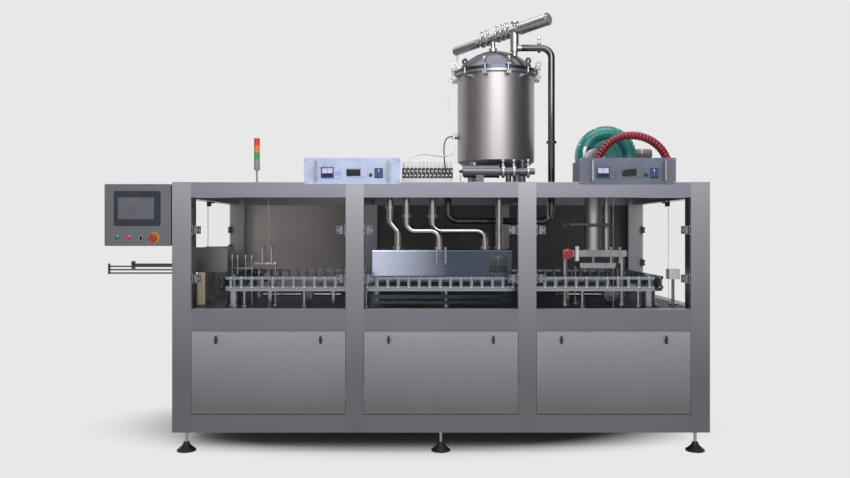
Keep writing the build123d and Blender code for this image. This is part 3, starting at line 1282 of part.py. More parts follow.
# Generators: flush front plate with two bar handles, case behind, and what sits in the front
def make_generators():
    pieces = []
    for number, start in enumerate(GENERATOR_XS):
        left = across(start)
        foot = BODY_TOP - PANEL_DROP
        with BuildPart() as case:
            with BuildSketch(Plane.XZ.offset(-FRONT)):
                with Locations((left + PANEL_PLATE[0] / 2, foot + PANEL_PLATE[1] / 2)):
                    RectangleRounded(PANEL_PLATE[0], PANEL_PLATE[1], 3)
            extrude(amount=PANEL_PLATE[2])
            with BuildSketch(Plane.XY.offset(BODY_TOP)):
                with Locations((left + PANEL_PLATE[0] / 2, FRONT + CASE[1] / 2)):
                    Rectangle(CASE[0], CASE[1])
            extrude(amount=CASE[2])
            with BuildSketch(Plane.XZ.offset(-FRONT + PANEL_PLATE[2])):
                with Locations((left + sum(ROCKER_X) / 2, foot + sum(ROCKER_Z) / 2)):
                    Rectangle(ROCKER_X[1] - ROCKER_X[0], ROCKER_Z[1] - ROCKER_Z[0])
            extrude(amount=-PANEL_PLATE[2] - 16, mode=Mode.SUBTRACT)
            with BuildSketch(Plane.YZ.offset(left + ROCKER_X[0] - 3)):
                with Locations((rocker_axis()[0], rocker_axis()[1])):
                    Circle(ROCKER_PIN + RUNNING_FIT)
            extrude(amount=ROCKER_X[1] - ROCKER_X[0] + 6, mode=Mode.SUBTRACT)
        pieces.append(case.part)
        face = FRONT - PANEL_PLATE[2]
        for x in (left + CASE_HANDLE_INSET, left + PANEL_PLATE[0] - CASE_HANDLE_INSET):
            pieces.append(bar((x - 5, x + 5), (face - 34, face - 24), (foot + 16, foot + 117)))
            for z in (foot + 16, foot + 107):
                pieces.append(bar((x - 4, x + 4), (face - 24, face), (z + 1, z + 9)))
        for x, z in ((METER_X, METER_Z), (DISPLAY_X, DISPLAY_Z)):
            with BuildPart() as window:
                with BuildSketch(Plane.XZ.offset(-face)):
                    with Locations((left + sum(x) / 2, foot + sum(z) / 2)):
                        RectangleRounded(x[1] - x[0], z[1] - z[0], 3)
                extrude(amount=5)
                chamfer(window.faces().sort_by(Axis.Y)[0].edges(), 1.5)
            pieces.append(window.part)
        pieces.append(turned(Plane(origin=(left + FUSE_X, face, foot + FUSE_Z), z_dir=(0, -1, 0)),
                             [(0, 4, 9), (4, 14, 7)]))
        side = ("left", "right")[number]
        make_rocker(f"{side}_generator_switch", left)
    save("generators", *pieces)


def rocker_axis():
    """Depth and height of a rocker's pivot."""
    return (FRONT - PANEL_PLATE[2] + ROCKER_PIVOT_DEPTH, BODY_TOP - PANEL_DROP + sum(ROCKER_Z) / 2)


# Rocker switch: one half flush, the other flared out, on a cross pin
def make_rocker(name, left):
    depth, level = rocker_axis()
    half = (ROCKER_Z[1] - ROCKER_Z[0]) / 2 - 1.5
    face = depth - ROCKER_PIVOT_DEPTH
    flare = radians(ROCKER_FLARE)
    # The flared tip is the flush tip's mirror, turned out by the rocker's whole travel
    tip = (depth - ROCKER_PIVOT_DEPTH * cos(flare) - half * sin(flare),
           level - half * cos(flare) + ROCKER_PIVOT_DEPTH * sin(flare))
    x = (left + ROCKER_X[0] + ROCKER_GAP, left + ROCKER_X[1] - ROCKER_GAP)
    with BuildPart() as rocker:
        with BuildSketch(Plane.YZ.offset(x[0])):
            with BuildLine():
                Polyline((face, level), (face, level + half), (depth, level + half - 2),
                         (depth + 6, level), (depth, level + 2 - half), tip, close=True)
            make_face()
        extrude(amount=x[1] - x[0])
        with BuildSketch(Plane.YZ.offset(x[0] - ROCKER_GAP - 2)):
            with Locations((depth, level)):
                Circle(ROCKER_PIN)
        extrude(amount=x[1] - x[0] + 2 * ROCKER_GAP + 4)
    save(name, rocker.part)


# Valve manifold: a drilled base with a row of slim valves, each with a push-in fitting on top
def valve_x(index):
    pitch = (MANIFOLD_X[1] - MANIFOLD_X[0]) / VALVES
    return MANIFOLD_X[0] + pitch * (index + 0.5)


def make_manifold():
    x = span_x(MANIFOLD_X)
    y = span_y(MANIFOLD_Y)
    top = BODY_TOP + MANIFOLD_BASE
    pitch = (MANIFOLD_X[1] - MANIFOLD_X[0]) / VALVES
    pieces = [bar(x, y, (BODY_TOP, top))]
    for index in range(VALVES):
        middle = across(valve_x(index))
        with BuildPart() as valve:
            with BuildSketch(Plane.XY.offset(top)):
                with Locations((middle, sum(y) / 2)):
                    Rectangle(pitch - VALVE_GAP, y[1] - y[0] - 8)
            extrude(amount=VALVE_HEIGHT)
            with BuildSketch(Plane.XY.offset(top + VALVE_HEIGHT)):
                with Locations((middle, sum(y) / 2)):
                    Circle(FITTING[0] + 2)
            extrude(amount=FITTING[1])
        pieces.append(valve.part)
    gland = CABLE_ROUTE[-1]
    pieces.append(turned(Plane(origin=(across(gland[0]), inward(gland[1]), 0)),
                         [(BODY_TOP, BODY_TOP + 10, 11), (BODY_TOP + 10, gland[2], 8)]))
    save("valve_manifold", *pieces)


# Ring blower: round channel housing facing the front, motor behind, ports and feet
def make_blower():
    axis_point = (across(BLOWER_X), inward(BLOWER_Y), BLOWER_Z)
    section = Plane(origin=axis_point, x_dir=(1, 0, 0), z_dir=(0, 0, 1))
    r = BLOWER_RADIUS
    with BuildPart() as housing:
        # The section lies in the horizontal plane through the axis, which runs front to back
        with BuildSketch(section):
            with BuildLine():
                Polyline((0, -38), (r * 0.34, -38), (r * 0.38, -26), (r * 0.55, -26))
                ThreePointArc((r * 0.55, -26), (r * 0.76, -62), (r * 0.95, -26))
                Polyline((r * 0.95, -26), (r, -22), (r, -4), (r * 0.97, 0), (r, 4), (r, 22), (r * 0.95, 26))
                ThreePointArc((r * 0.95, 26), (r * 0.76, 58), (r * 0.55, 26))
                Polyline((r * 0.55, 26), (r * 0.5, 60), (0, 60), (0, -38))
            make_face()
        revolve(axis=Axis(axis_point, (0, 1, 0)))
    with BuildPart() as motor:
        back = Plane(origin=(axis_point[0], axis_point[1] + 60, axis_point[2]), x_dir=(1, 0, 0),
                     z_dir=(0, 1, 0))
        with BuildSketch(back):
            Circle(82)
            with PolarLocations(84, 24):
                Rectangle(16, 3)
        extrude(amount=190)
        with BuildSketch(back.offset(190)):
            Circle(92)
        extrude(amount=45)
    foot = bar((axis_point[0] - 120, axis_point[0] + 120),
               (axis_point[1] + 70, axis_point[1] + 240), (BODY_TOP, BODY_TOP + 12))
    with BuildPart() as pedestal:
        with BuildSketch(Plane(origin=(axis_point[0], axis_point[1] + 90, BODY_TOP + 12))):
            Rectangle(150, 22)
        with BuildSketch(Plane(origin=(axis_point[0], axis_point[1] + 90, BLOWER_Z - 78))):
            Rectangle(60, 22)
        loft()
    # Bright cover on the front, and the port block low on the left with the elbow that the hose clips on
    cover = turned(Plane(origin=(across(COVER_X), inward(BLOWER_Y) - 26, COVER_Z), z_dir=(0, -1, 0)),
                   [(0, 44, 42), (44, 56, 58)])
    mouth = HOSE_ROUTE[0]
    port_y = inward(BLOWER_Y) - 30
    port_z = mouth[2] - 45
    block = bar((across(mouth[0]) - 34, across(mouth[0]) + 50), (port_y, port_y + 60), (BODY_TOP,
                                                                                        BODY_TOP + 100))
    with BuildPart() as elbow:
        add(pipe_run([(across(mouth[0]), port_y, port_z), (across(mouth[0]), inward(mouth[1]), port_z),
                      (across(mouth[0]), inward(mouth[1]), mouth[2])], HOSE - 4, 40.0))
        with BuildSketch(Plane(origin=(across(mouth[0]), inward(mouth[1]), mouth[2] - 8))):
            Circle(HOSE / 2 + 3)
        extrude(amount=8)
        with BuildSketch(Plane.XZ.offset(-port_y)):
            with Locations((across(mouth[0]), port_z)):
                Circle(29)
        extrude(amount=10)
    end = HOSE_ROUTE[-1]
    collar = turned(Plane(origin=(across(end[0]), inward(end[1]), 0)),
                    [(BODY_TOP, BODY_TOP + 8, 40), (BODY_TOP + 8, end[2], HOSE / 2 + 3)])
    # Silencer on the outlet
    silencer = turned(Plane(origin=(across(BLOWER_X) + r - 14, inward(BLOWER_Y) + 44,
                                    BLOWER_Z + 20), z_dir=(1, 0, 0)),
                      [(0, 20, 34), (20, 110, 28), (110, 118, 24)])
    with BuildPart() as blower:
        add(housing.part)
        add(cover)
        add(block)
        add(silencer)
        add(motor.part)
        add(pedestal.part)
    save("ring_blower", blower.part, foot, elbow.part, collar)


# Sealing station: crosshead on two columns, the chrome heater tube above it, and its guides
def make_sealer():
    x = span_x(CROSSHEAD_X)
    y = span_y(CROSSHEAD_Y)
    axis = Plane(origin=(across(SEALER_X), inward(SEALER_Y), 0))
    with BuildPart() as crosshead:
        with BuildSketch(Plane.XY.offset(CROSSHEAD_Z[0])):
            with Locations((sum(x) / 2, sum(y) / 2)):
                RectangleRounded(x[1] - x[0], y[1] - y[0], 8)
            with Locations((across(SEALER_X), inward(SEALER_Y))):
                Circle(JAW_ROD + RUNNING_FIT, mode=Mode.SUBTRACT)
        extrude(amount=CROSSHEAD_Z[1] - CROSSHEAD_Z[0])
    with BuildPart() as tube:
        with BuildSketch(axis.offset(CROSSHEAD_Z[1])):
            Circle(SEALER_TUBE)
            Circle(JAW_ROD + 4, mode=Mode.SUBTRACT)
        extrude(amount=JAW_ROD_TOP + 30 - CROSSHEAD_Z[1])
        with BuildSketch(axis.offset(JAW_ROD_TOP + 30)):
            Circle(SEALER_TUBE)
        extrude(amount=ROOF_UNDER - JAW_ROD_TOP - 30)
        for level in (CROSSHEAD_Z[1], 1180.0, ROOF_UNDER - 10):
            with BuildSketch(axis.offset(level)):
                Circle(SEALER_TUBE + 7)
                Circle(SEALER_TUBE - 2, mode=Mode.SUBTRACT)
            extrude(amount=10)
    pieces = [crosshead.part, tube.part]
    for place in (x[0] + 22, x[1] - 22):
        pieces.append(turned(Plane(origin=(place, sum(y) / 2, 0)),
                             [(DECK_LEVEL, DECK_LEVEL + 10, 26), (DECK_LEVEL + 10, CROSSHEAD_Z[0],
                                                                  COLUMN_RADIUS)]))
    # Slim return tube beside the heater tube
    pieces.append(turned(Plane(origin=(across(RETURN_TUBE_X), inward(SEALER_Y), 0)),
                         [(CROSSHEAD_Z[1], CROSSHEAD_Z[1] + 12, 19), (CROSSHEAD_Z[1] + 12, ROOF_UNDER, 15)]))
    # Dark cross bar clamped on the tubes, and the ball-topped setting rod on the deck
    pieces.append(bar((x[0] + 10, across(SEALER_X) - SEALER_TUBE), (inward(SEALER_Y) - 8,
                                                                       inward(SEALER_Y) + 8),
                      (1132, 1150)))
    pieces.append(turned(Plane(origin=(across(SETTING_ROD_X), inward(330), 0)),
                         [(DECK_LEVEL, DECK_LEVEL + 8, 22), (DECK_LEVEL + 8, 940, 6), (940, 962, 12)]))
    save("sealing_station", *pieces)


# Sealing jaw: plate over the holders on a guide rod through the crosshead
def make_jaw():
    x = span_x(JAW_X)
    y = span_y(JAW_Y)
    with BuildPart() as jaw:
        with BuildSketch(Plane.XY.offset(JAW_Z[0])):
            with Locations((sum(x) / 2, sum(y) / 2)):
                RectangleRounded(x[1] - x[0], y[1] - y[0], 6)
        extrude(amount=JAW_Z[1] - JAW_Z[0])
        with BuildSketch(Plane.XY.offset(JAW_Z[0] - 8)):
            with Locations((sum(x) / 2, inward(CHAIN_Y[0]))):
                Rectangle(x[1] - x[0] - 12, 20)
        extrude(amount=8)
        with BuildSketch(Plane(origin=(across(SEALER_X), inward(SEALER_Y), JAW_Z[1]))):
            Circle(JAW_ROD)
        extrude(amount=JAW_ROD_TOP - JAW_Z[1])
    save("sealing_jaw", jaw.part)


# Gear motor hung under the deck on the drive wheel's shaft
def make_motor():
    cx, cy = across(DRIVE_WHEEL[0]), inward(DRIVE_WHEEL[1])
    under = DECK_LEVEL - DECK_SHEET
    with BuildPart() as gearbox:
        with BuildSketch(Plane.XY.offset(under - GEARBOX[2])):
            with Locations((cx, cy)):
                RectangleRounded(GEARBOX[0] - 20, GEARBOX[1] - 20, 12)
        extrude(amount=GEARBOX[2])
        with BuildSketch(Plane.XY.offset(under - 14)):
            with Locations((cx, cy)):
                RectangleRounded(GEARBOX[0], GEARBOX[1], 12)
        extrude(amount=14)
        with BuildSketch(Plane.XY.offset(under - 50)):
            with Locations((cx, cy)):
                Circle(SHAFT_RADIUS + RUNNING_FIT)
        extrude(amount=50, mode=Mode.SUBTRACT)
    end = Plane(origin=(cx - GEARBOX[0] / 2 + 10, cy, under - GEARBOX[2] / 2), z_dir=(-1, 0, 0))
    with BuildPart() as motor:
        with BuildSketch(end):
            Circle(MOTOR_RADIUS)
            with PolarLocations(MOTOR_RADIUS + 2, 16):
                Rectangle(12, 3)
        extrude(amount=MOTOR_LENGTH)
        with BuildSketch(end.offset(MOTOR_LENGTH)):
            Circle(MOTOR_RADIUS + 7)
        extrude(amount=50)
    save("gear_motor", gearbox.part, motor.part)


make_frame()
make_roof()
make_deck()
make_skins()
make_doors()
panel_pins = make_cupboards()
save("hinge_mounts", *frame_halves, *panel_pins, *end_catches())
make_feet()
make_control_box()
make_fascia()
make_controls()
make_infeed()
make_magazine()
make_chain()
make_rails()
make_wheels()
make_hood()
make_pipes()
make_supply()
make_tank()
make_lid()
make_swing_bolts()
make_lid_valves()
make_outlet()
make_tower()
make_generators()
make_manifold()
make_blower()
make_sealer()
make_jaw()
make_motor()
for name, route, diameter in (("blower_hose", HOSE_ROUTE, HOSE), ("actuator_air_tube", AIR_ROUTE, AIR_TUBE),
                              ("sensor_cable", CABLE_ROUTE, CABLE)):
    free_cord(name, [(across(x), inward(y), z) for x, y, z in route], diameter)
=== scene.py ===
import bpy
from math import cos, pi, radians, sin
from mathutils import Matrix, Vector


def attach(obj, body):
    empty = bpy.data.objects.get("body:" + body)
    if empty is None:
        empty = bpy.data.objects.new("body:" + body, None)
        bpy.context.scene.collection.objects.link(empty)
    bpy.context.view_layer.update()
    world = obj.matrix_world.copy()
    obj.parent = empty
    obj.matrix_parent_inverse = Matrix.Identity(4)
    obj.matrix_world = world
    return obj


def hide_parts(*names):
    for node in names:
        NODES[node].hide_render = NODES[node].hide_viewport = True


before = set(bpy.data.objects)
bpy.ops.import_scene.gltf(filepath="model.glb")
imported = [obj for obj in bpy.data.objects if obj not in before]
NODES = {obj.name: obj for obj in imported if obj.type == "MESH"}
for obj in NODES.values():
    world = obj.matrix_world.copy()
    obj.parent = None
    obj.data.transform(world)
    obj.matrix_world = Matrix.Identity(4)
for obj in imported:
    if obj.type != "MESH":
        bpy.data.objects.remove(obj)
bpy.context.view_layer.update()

bl_info = {
    "name": "Carton Filling Machine",
    "version": (1, 0, 0),
    "blender": (4, 5, 0),
    "location": "3D Viewport > Sidebar > Filling Machine",
    "description": "Finishes and small fittings of a carton filling machine, on its packed frame",
    "category": "Object",
}

MAIN_BODY = "machine"

# Faces of the body in metres; FAR lies past the machine on every side
BODY_LEFT = -1.130
BODY_FRONT = -0.650
FRONT_FACE = BODY_FRONT - 0.001
BACK_FACE = 0.6915
FAR = 9.0
RAIL_HEIGHTS = ((0.10, 0.193), (0.609, 0.718), (1.277, 1.352))
# Depth and heights of the sills' top faces, which take a painted strip of light
SILL_DEPTH = 0.095
SILL_HEIGHTS = (0.7165, 0.7175)
LENS_HEIGHTS = {"green_lens": (1.4735, 1.510), "amber_lens": (1.510, 1.549), "red_lens": (1.549, 1.6)}

# All places from here on are in body millimetres
BODY_RIGHT = 2690.0
BAY_EDGES = ((95.0, 868.333), (958.333, 1731.667), (1821.667, 2595.0))
DECK = 717.0
ROOF_UNDER = 1351.0

# Doors: the pane's two faces, its clamps' caps, and the heights of the clamps
PANE_OUTSIDE = 1.0
PANE_INSIDE = 13.0
PANE_MIDDLES = {"front": -0.643, "right": 1.553, "left": -1.123}
PANE_HALF = 0.0034
HANDLE_REACH = 45.0
CAP_U = 37.0
CAP_RISE = 12.0
END_DOOR_NEAR = 95.0
END_DOOR_FAR = 1245.0
UPPER_CLAMP = 1115.0
FRONT_LOWER_CLAMP = 872.0
SELECTOR_X = -159.0

# The chain's rounded loop, as the holders stand on it
CHAIN_X = (202.0, 2498.0)
CHAIN_Y = (150.0, 935.0)
CHAIN_CORNER = 60.0
HOLDERS = 112
HOLDER_FACE = 13.0
BOLT_LEVELS = (816.5, 866.5)

# Generator fronts, from each plate's left edge and foot
GENERATOR_XS = (660.0, 2037.0)
PLATE_FOOT = 1343.5
PLATE_FACE = -3.3
METER_X = (86.0, 150.0)
METER_Z = (31.0, 86.0)
METER_SPLIT = 55.0
DISPLAY_X = (213.0, 283.0)
DISPLAY_Z = (41.0, 76.0)
LAMP_XS = (160.0, 169.0, 178.0)
LAMP_ZS = (46.0, 58.0)
ROCKER_MIDDLE = (373.5, 56.0)
HANDLE_XS = (60.0, 422.0)
PLATE_SCREW_XS = (8.0, 474.0)
PLATE_SCREW_ZS = (10.0, 122.0)

# Valve manifold and ring blower
MANIFOLD_X = (1148.0, 1408.0)
VALVES = 13
TUBED_VALVE = 1
BLOWER_AXIS = (2312.0, 650.0, 1540.0)
RIM_BOLTS = 8
RIM_RADIUS = 167.0
COVER_MIDDLE = (2232.0, 568.0, 1520.0)
COVER_RADIUS = 48.0
COVER_BOLTS = 6

# Small machinery in the bays
CROSSHEAD_FRONT = 205.0
RED_WHEEL = (2014.0, 990.0)
AIR_CYLINDER = (2062.0, 952.0, 1030.0)
HANGING_ROD = (1929.0, 330.0, 1158.0)
GUIDE_RODS = ((228, 322), (262, 300), (300, 322), (338, 300))
UNDER_SHAFT = (330.0, 768.0)

# Clamps of the lid's valve line, the supply pipe and the outlet valve
CLAMP_RINGS = (-71.0, -35.0, 35.0, 70.0, 102.0)
LID_LINE = (1654.0, 560.0, 2203.0)
LID_LINE_TURN = -40.0
LID_LINE_TILT = 8.0
SUPPLY_RING = (1901.667, 465.6, 2128.0)
OUTLET_RINGS = (1685.0, 1743.0, 1819.0)
OUTLET_AXIS = (300.0, 1429.0)
BAND_WIDTH = 18.0

# Outer faces of the skins, and the screws' rows on the end skins
SKIN_BACK = 1342.0
SKIN_SIDE = 2.0
END_SCREW_YS = (85.0, 1255.0)
END_SCREW_ZS = (182.0, 328.0, 474.0, 620.0)

# Cord lengths and the hose's wall, in metres, and how finely its ribs are drawn
HOSE_PITCH = 0.0195
HOSE_GROOVE = 0.0036
HOSE_SIDES = 24
RINGS_PER_RIB = 6

# Routes of the free hose, tube and cable
HOSE_ROUTE = (
    (2212, 440, 1430), (2212, 440, 1484), (2243, 435, 1552), (2294, 430, 1605),
    (2362, 425, 1635), (2438, 421, 1637), (2510, 418, 1612), (2570, 416, 1562),
    (2605, 415, 1493), (2618, 415, 1424), (2618, 415, 1385),
)
AIR_ROUTE = (
    (1178, 90, 1442), (1178, 90, 1472), (1204, 98, 1498), (1254, 120, 1509), (1325, 168, 1500),
    (1388, 238, 1506), (1424, 320, 1536), (1430, 395, 1600), (1414, 450, 1695), (1399, 505, 1795),
    (1392, 566, 1895), (1397, 628, 1980), (1424, 688, 2040), (1457, 725.5, 2088), (1457, 725.5, 2126),
)
CABLE_ROUTE = (
    (1422.5, 560, 1645), (1397, 560, 1645), (1378, 545, 1612), (1373, 512, 1566), (1374, 466, 1518),
    (1377, 415, 1470), (1379, 370, 1425), (1380, 344, 1407), (1380, 344, 1380),
)


# Places are written in millimetres from the body's left face, its front face and the floor
def row(x, y, z):
    return Vector((BODY_LEFT + x / 1000, BODY_FRONT + y / 1000, z / 1000))


# Colours are written as sRGB hex and turned to linear here
def linear(hex_colour, alpha=1.0):
    parts = [int(hex_colour[place:place + 2], 16) / 255 for place in (1, 3, 5)]
    return tuple(p / 12.92 if p <= 0.04045 else ((p + 0.055) / 1.055) ** 2.4 for p in parts) + (alpha,)


# One shader node, its settings and the sockets that feed it
def add_node(tree, kind, settings=None, links=None):
    made = tree.nodes.new(kind)
    for name, value in (settings or {}).items():
        if name in made.inputs.keys():
            made.inputs[name].default_value = value
        else:
            setattr(made, name, value)
    for name, source in (links or {}).items():
        tree.links.new(source, made.inputs[name])
    return made


def new_material(name, **sockets):
    """A material with its shader's plain sockets set, and nothing linked yet."""
    material = bpy.data.materials.new(name)
    material.use_nodes = True
    shader = material.node_tree.nodes["Principled BSDF"]
    for socket, value in sockets.items():
        shader.inputs[socket.replace("_", " ")].default_value = value
    return material, material.node_tree, shader


def colour_ramp(tree, source, dark, light, low=0.3, high=0.7):
    ramp = add_node(tree, "ShaderNodeValToRGB", links={"Fac": source})
    ramp.color_ramp.elements[0].position = low
    ramp.color_ramp.elements[0].color = linear(dark)
    ramp.color_ramp.elements[1].position = high
    ramp.color_ramp.elements[1].color = linear(light)
    return ramp


def rough_surface(tree, shader, grain, smooth, rough, relief, depth):
    """Gloss and relief that follow a grain: its roughness at both ends, and how deep the relief is."""
    gloss = add_node(tree, "ShaderNodeMapRange", {"To Min": smooth, "To Max": rough}, {"Value": grain})
    tree.links.new(gloss.outputs["Result"], shader.inputs["Roughness"])
    bump = add_node(tree, "ShaderNodeBump", {"Strength": relief, "Distance": depth}, {"Height": grain})
    tree.links.new(bump.outputs["Normal"], shader.inputs["Normal"])


def brushed_steel(name, dark, light, roughness, along, painted_light_fall=None, grain=1.6, relief=0.12):
    """Stainless steel brushed along one axis: fine streaks in colour, gloss and relief.

    The belt's marks are about a tenth of a millimetre apart, too fine to show, so they are drawn at
    the grain's size in millimetres. Where painted_light_fall is given, as (axis, from, to) in metres, the
    tone goes from dark to light along it: light and shade painted into the colour, darker where less light
    reaches the sheet."""
    material, tree, shader = new_material(name, Metallic=1.0)
    place = add_node(tree, "ShaderNodeTexCoord")
    own = {"Vector": place.outputs["Object"]}
    across = 1000 / grain
    scale = [across, across, across]
    scale["XYZ".index(along)] = 5.0
    streaks = add_node(tree, "ShaderNodeMapping", {"Scale": tuple(scale)}, own)
    brush = add_node(tree, "ShaderNodeTexNoise", {"Scale": 1.0, "Detail": 3.0, "Roughness": 0.6},
                     {"Vector": streaks.outputs["Vector"]})
    cloud = add_node(tree, "ShaderNodeTexNoise", {"Scale": 2.4, "Detail": 1.0}, own)
    fine = add_node(tree, "ShaderNodeMath", {"operation": "MULTIPLY_ADD"}, {0: brush.outputs["Fac"]})
    fine.inputs[1].default_value = 0.30
    fine.inputs[2].default_value = -0.22 if painted_light_fall else 0.28
    broad = add_node(tree, "ShaderNodeMath", {"operation": "MULTIPLY_ADD", "use_clamp": not painted_light_fall},
                     {0: cloud.outputs["Fac"], 2: fine.outputs[0]})
    broad.inputs[1].default_value = 0.14
    tone = broad.outputs[0]
    # Painted light and shade: the tone is raised along the axis, from the dark tone to the light one
    if painted_light_fall:
        axis, low, high = painted_light_fall
        parts = add_node(tree, "ShaderNodeSeparateXYZ", links={"Vector": place.outputs["Object"]})
        level = add_node(tree, "ShaderNodeMapRange", {"From Min": low, "From Max": high},
                         {"Value": parts.outputs[axis]})
        lifted = add_node(tree, "ShaderNodeMath", {"operation": "ADD", "use_clamp": True},
                          {0: tone, 1: level.outputs["Result"]})
        tone = lifted.outputs[0]
    ramp = colour_ramp(tree, tone, dark, light, 0.0, 1.0)
    tree.links.new(ramp.outputs["Color"], shader.inputs["Base Color"])
    rough_surface(tree, shader, brush.outputs["Fac"], roughness - 0.06, roughness + 0.08, relief, 0.0004)
    return material


def moulded(name, light, dark, roughness, grit=0.9, relief=0.15, metallic=0.0):
    """A moulded, enamelled or rubber surface, mottled in colour and gloss; the grit's size is in mm."""
    material, tree, shader = new_material(name, Metallic=metallic)
    place = add_node(tree, "ShaderNodeTexCoord")
    own = {"Vector": place.outputs["Object"]}
    specks = add_node(tree, "ShaderNodeTexNoise", {"Scale": 1000 / grit, "Detail": 2.0}, own)
    cloud = add_node(tree, "ShaderNodeTexNoise", {"Scale": 14.0, "Detail": 3.0}, own)
    ramp = colour_ramp(tree, cloud.outputs["Fac"], dark, light, 0.25, 0.65)
    tree.links.new(ramp.outputs["Color"], shader.inputs["Base Color"])
    rough_surface(tree, shader, specks.outputs["Fac"], roughness - 0.05, roughness + 0.07, relief, 0.0003)
    return material


def clear_sheet(name, hex_colour, alpha, gloss):
    """Cast acrylic sheet: nearly invisible face on, with a soft sheen and faint wiping marks."""
    material, tree, shader = new_material(name, Base_Color=linear(hex_colour), Alpha=alpha)
    material.surface_render_method = "BLENDED"
    place = add_node(tree, "ShaderNodeTexCoord")
    wipes = add_node(tree, "ShaderNodeTexNoise", {"Scale": 9.0, "Detail": 4.0},
                     {"Vector": place.outputs["Object"]})
    sheen = add_node(tree, "ShaderNodeMapRange", {"To Min": gloss, "To Max": gloss + 0.1},
                     {"Value": wipes.outputs["Fac"]})
    tree.links.new(sheen.outputs["Result"], shader.inputs["Roughness"])
    return material


# Steels: material's name, its two tones, roughness, the axis it is brushed along, and where they differ its
# painted_light_fall (light and shade painted along an axis), grain in mm and relief. The comments say what
# each surface is and what it gives the eye
STEELS = {
    # Belt-brushed frame tube: satin, faintly violet, streaks up the posts, painted shade darkens it low down
    "post": ("brushed_stainless_post", "#6C6B70", "#9E9CA2", 0.36, "Z", ("Z", 0.35, 1.38)),
    # The same tube laid level: streaks run along the rails, and painted shade darkens it low down
    "rail": ("brushed_stainless_rail", "#6F6E73", "#878691", 0.34, "X", ("Z", 0.15, 1.38)),
    # The control box, a shade darker than the frame
    "box": ("brushed_stainless_box", "#606166", "#828389", 0.36, "X"),
    # Brushed stainless cupboard doors, painted lighter at the top as painted light
    "panel": ("brushed_stainless_panel", "#706F72", "#9F9CA3", 0.31, "Z", ("Z", 0.22, 0.62)),
    # Rear skins seen through the bays: browner, with painted light at the left and painted shade darkening
    # them towards the right
    "skin": ("brushed_stainless_skin", "#D2C8C4", "#4C4A4B", 0.44, "Z", ("X", -0.86, -0.2)),
    # The same skins outside: as light as the cupboard doors, with painted shade darkening them low down
    "outer_skin": ("brushed_stainless_outside", "#6E6D70", "#96959A", 0.34, "Z", ("Z", 0.1, 1.3)),
    # Deck plate, darkened by painted shade, nearly black towards the right
    "deck": ("shaded_stainless_deck", "#51585F", "#050609", 0.5, "X", ("X", -0.7, 0.7)),
    # Filling hood: painted light at its left end, painted shade under the pipes at its right
    "hood": ("brushed_stainless_hood", "#C8CDE4", "#454C58", 0.27, "X", ("X", -0.1, 0.26)),
    # Magazine cheeks, satin grey
    "cheek": ("satin_stainless_cheek", "#5B5E60", "#8C8F92", 0.38, "X"),
    # Pressed holders, polished but smeared
    "holder": ("pressed_stainless_holder", "#525862", "#AEB3BE", 0.25, "Z"),
    # Sanitary tube over the hood, polished: sharp bright highlights along its length
    "bright_pipe": ("polished_product_pipe", "#8A8581", "#D6D0CB", 0.13, "Z", None, 3.0, 0.02),
    # Infeed rails, in dark tones
    "dark_bar": ("dark_steel_bar", "#3C3A3B", "#5E5B5C", 0.30, "X", None, 2.0),
    # The supply pipe, polished too, its tones painted darker as a painted reflection of a darker room
    "pipe": ("polished_stainless_pipe", "#413F3E", "#757273", 0.10, "Z", None, 3.0, 0.02),
    # Satin actuator barrels and valve bodies on the lid, light against the backdrop
    "barrel": ("satin_stainless_barrel", "#8E8D90", "#C4C2C2", 0.30, "Z", None, 2.0),
    # The outlet valve's barrel, its tones painted darker as painted shade from the tank
    "shaded_barrel": ("shaded_stainless_barrel", "#4A4D4F", "#74777A", 0.32, "X", None, 2.0),
    # Turned clamps, shafts and bolts, a little brighter than what they hold
    "fitting": ("turned_stainless_fitting", "#74747A", "#B4B5BB", 0.24, "X", None, 2.0),
    # Domed bolt heads: tones painted brighter than the fittings, a painted highlight where they catch the
    # light
    "bolt": ("bright_stainless_bolt", "#B4B6BC", "#E8E9EC", 0.22, "X", None, 2.0),
    # Hinge clamps, bead-blasted grey
    "clamp": ("blasted_stainless_clamp", "#5C5D64", "#8A8B92", 0.42, "X", None, 1.2),
    # Tank shell, polished round its girth to a soft satin
    "tank": ("polished_stainless_tank", "#8E898A", "#B4AFB0", 0.37, "Z", None, 2.4, 0.05),
    # Lid and its flanges, cooler and glossier
    "lid": ("polished_stainless_lid", "#3C3D47", "#696B75", 0.26, "X", None, 2.4),
}
# Clear sheets: name, tint, alpha and gloss
SHEETS = {
    # Cast acrylic, and its sawn edges: frosted, and painted near white as a painted highlight where they
    # catch the light
    "acrylic": ("cast_acrylic_sheet", "#8A9494", 0.009, 0.03),
    "acrylic_edge": ("sawn_acrylic_edge", "#E6EEEE", 0.55, 0.4),
}
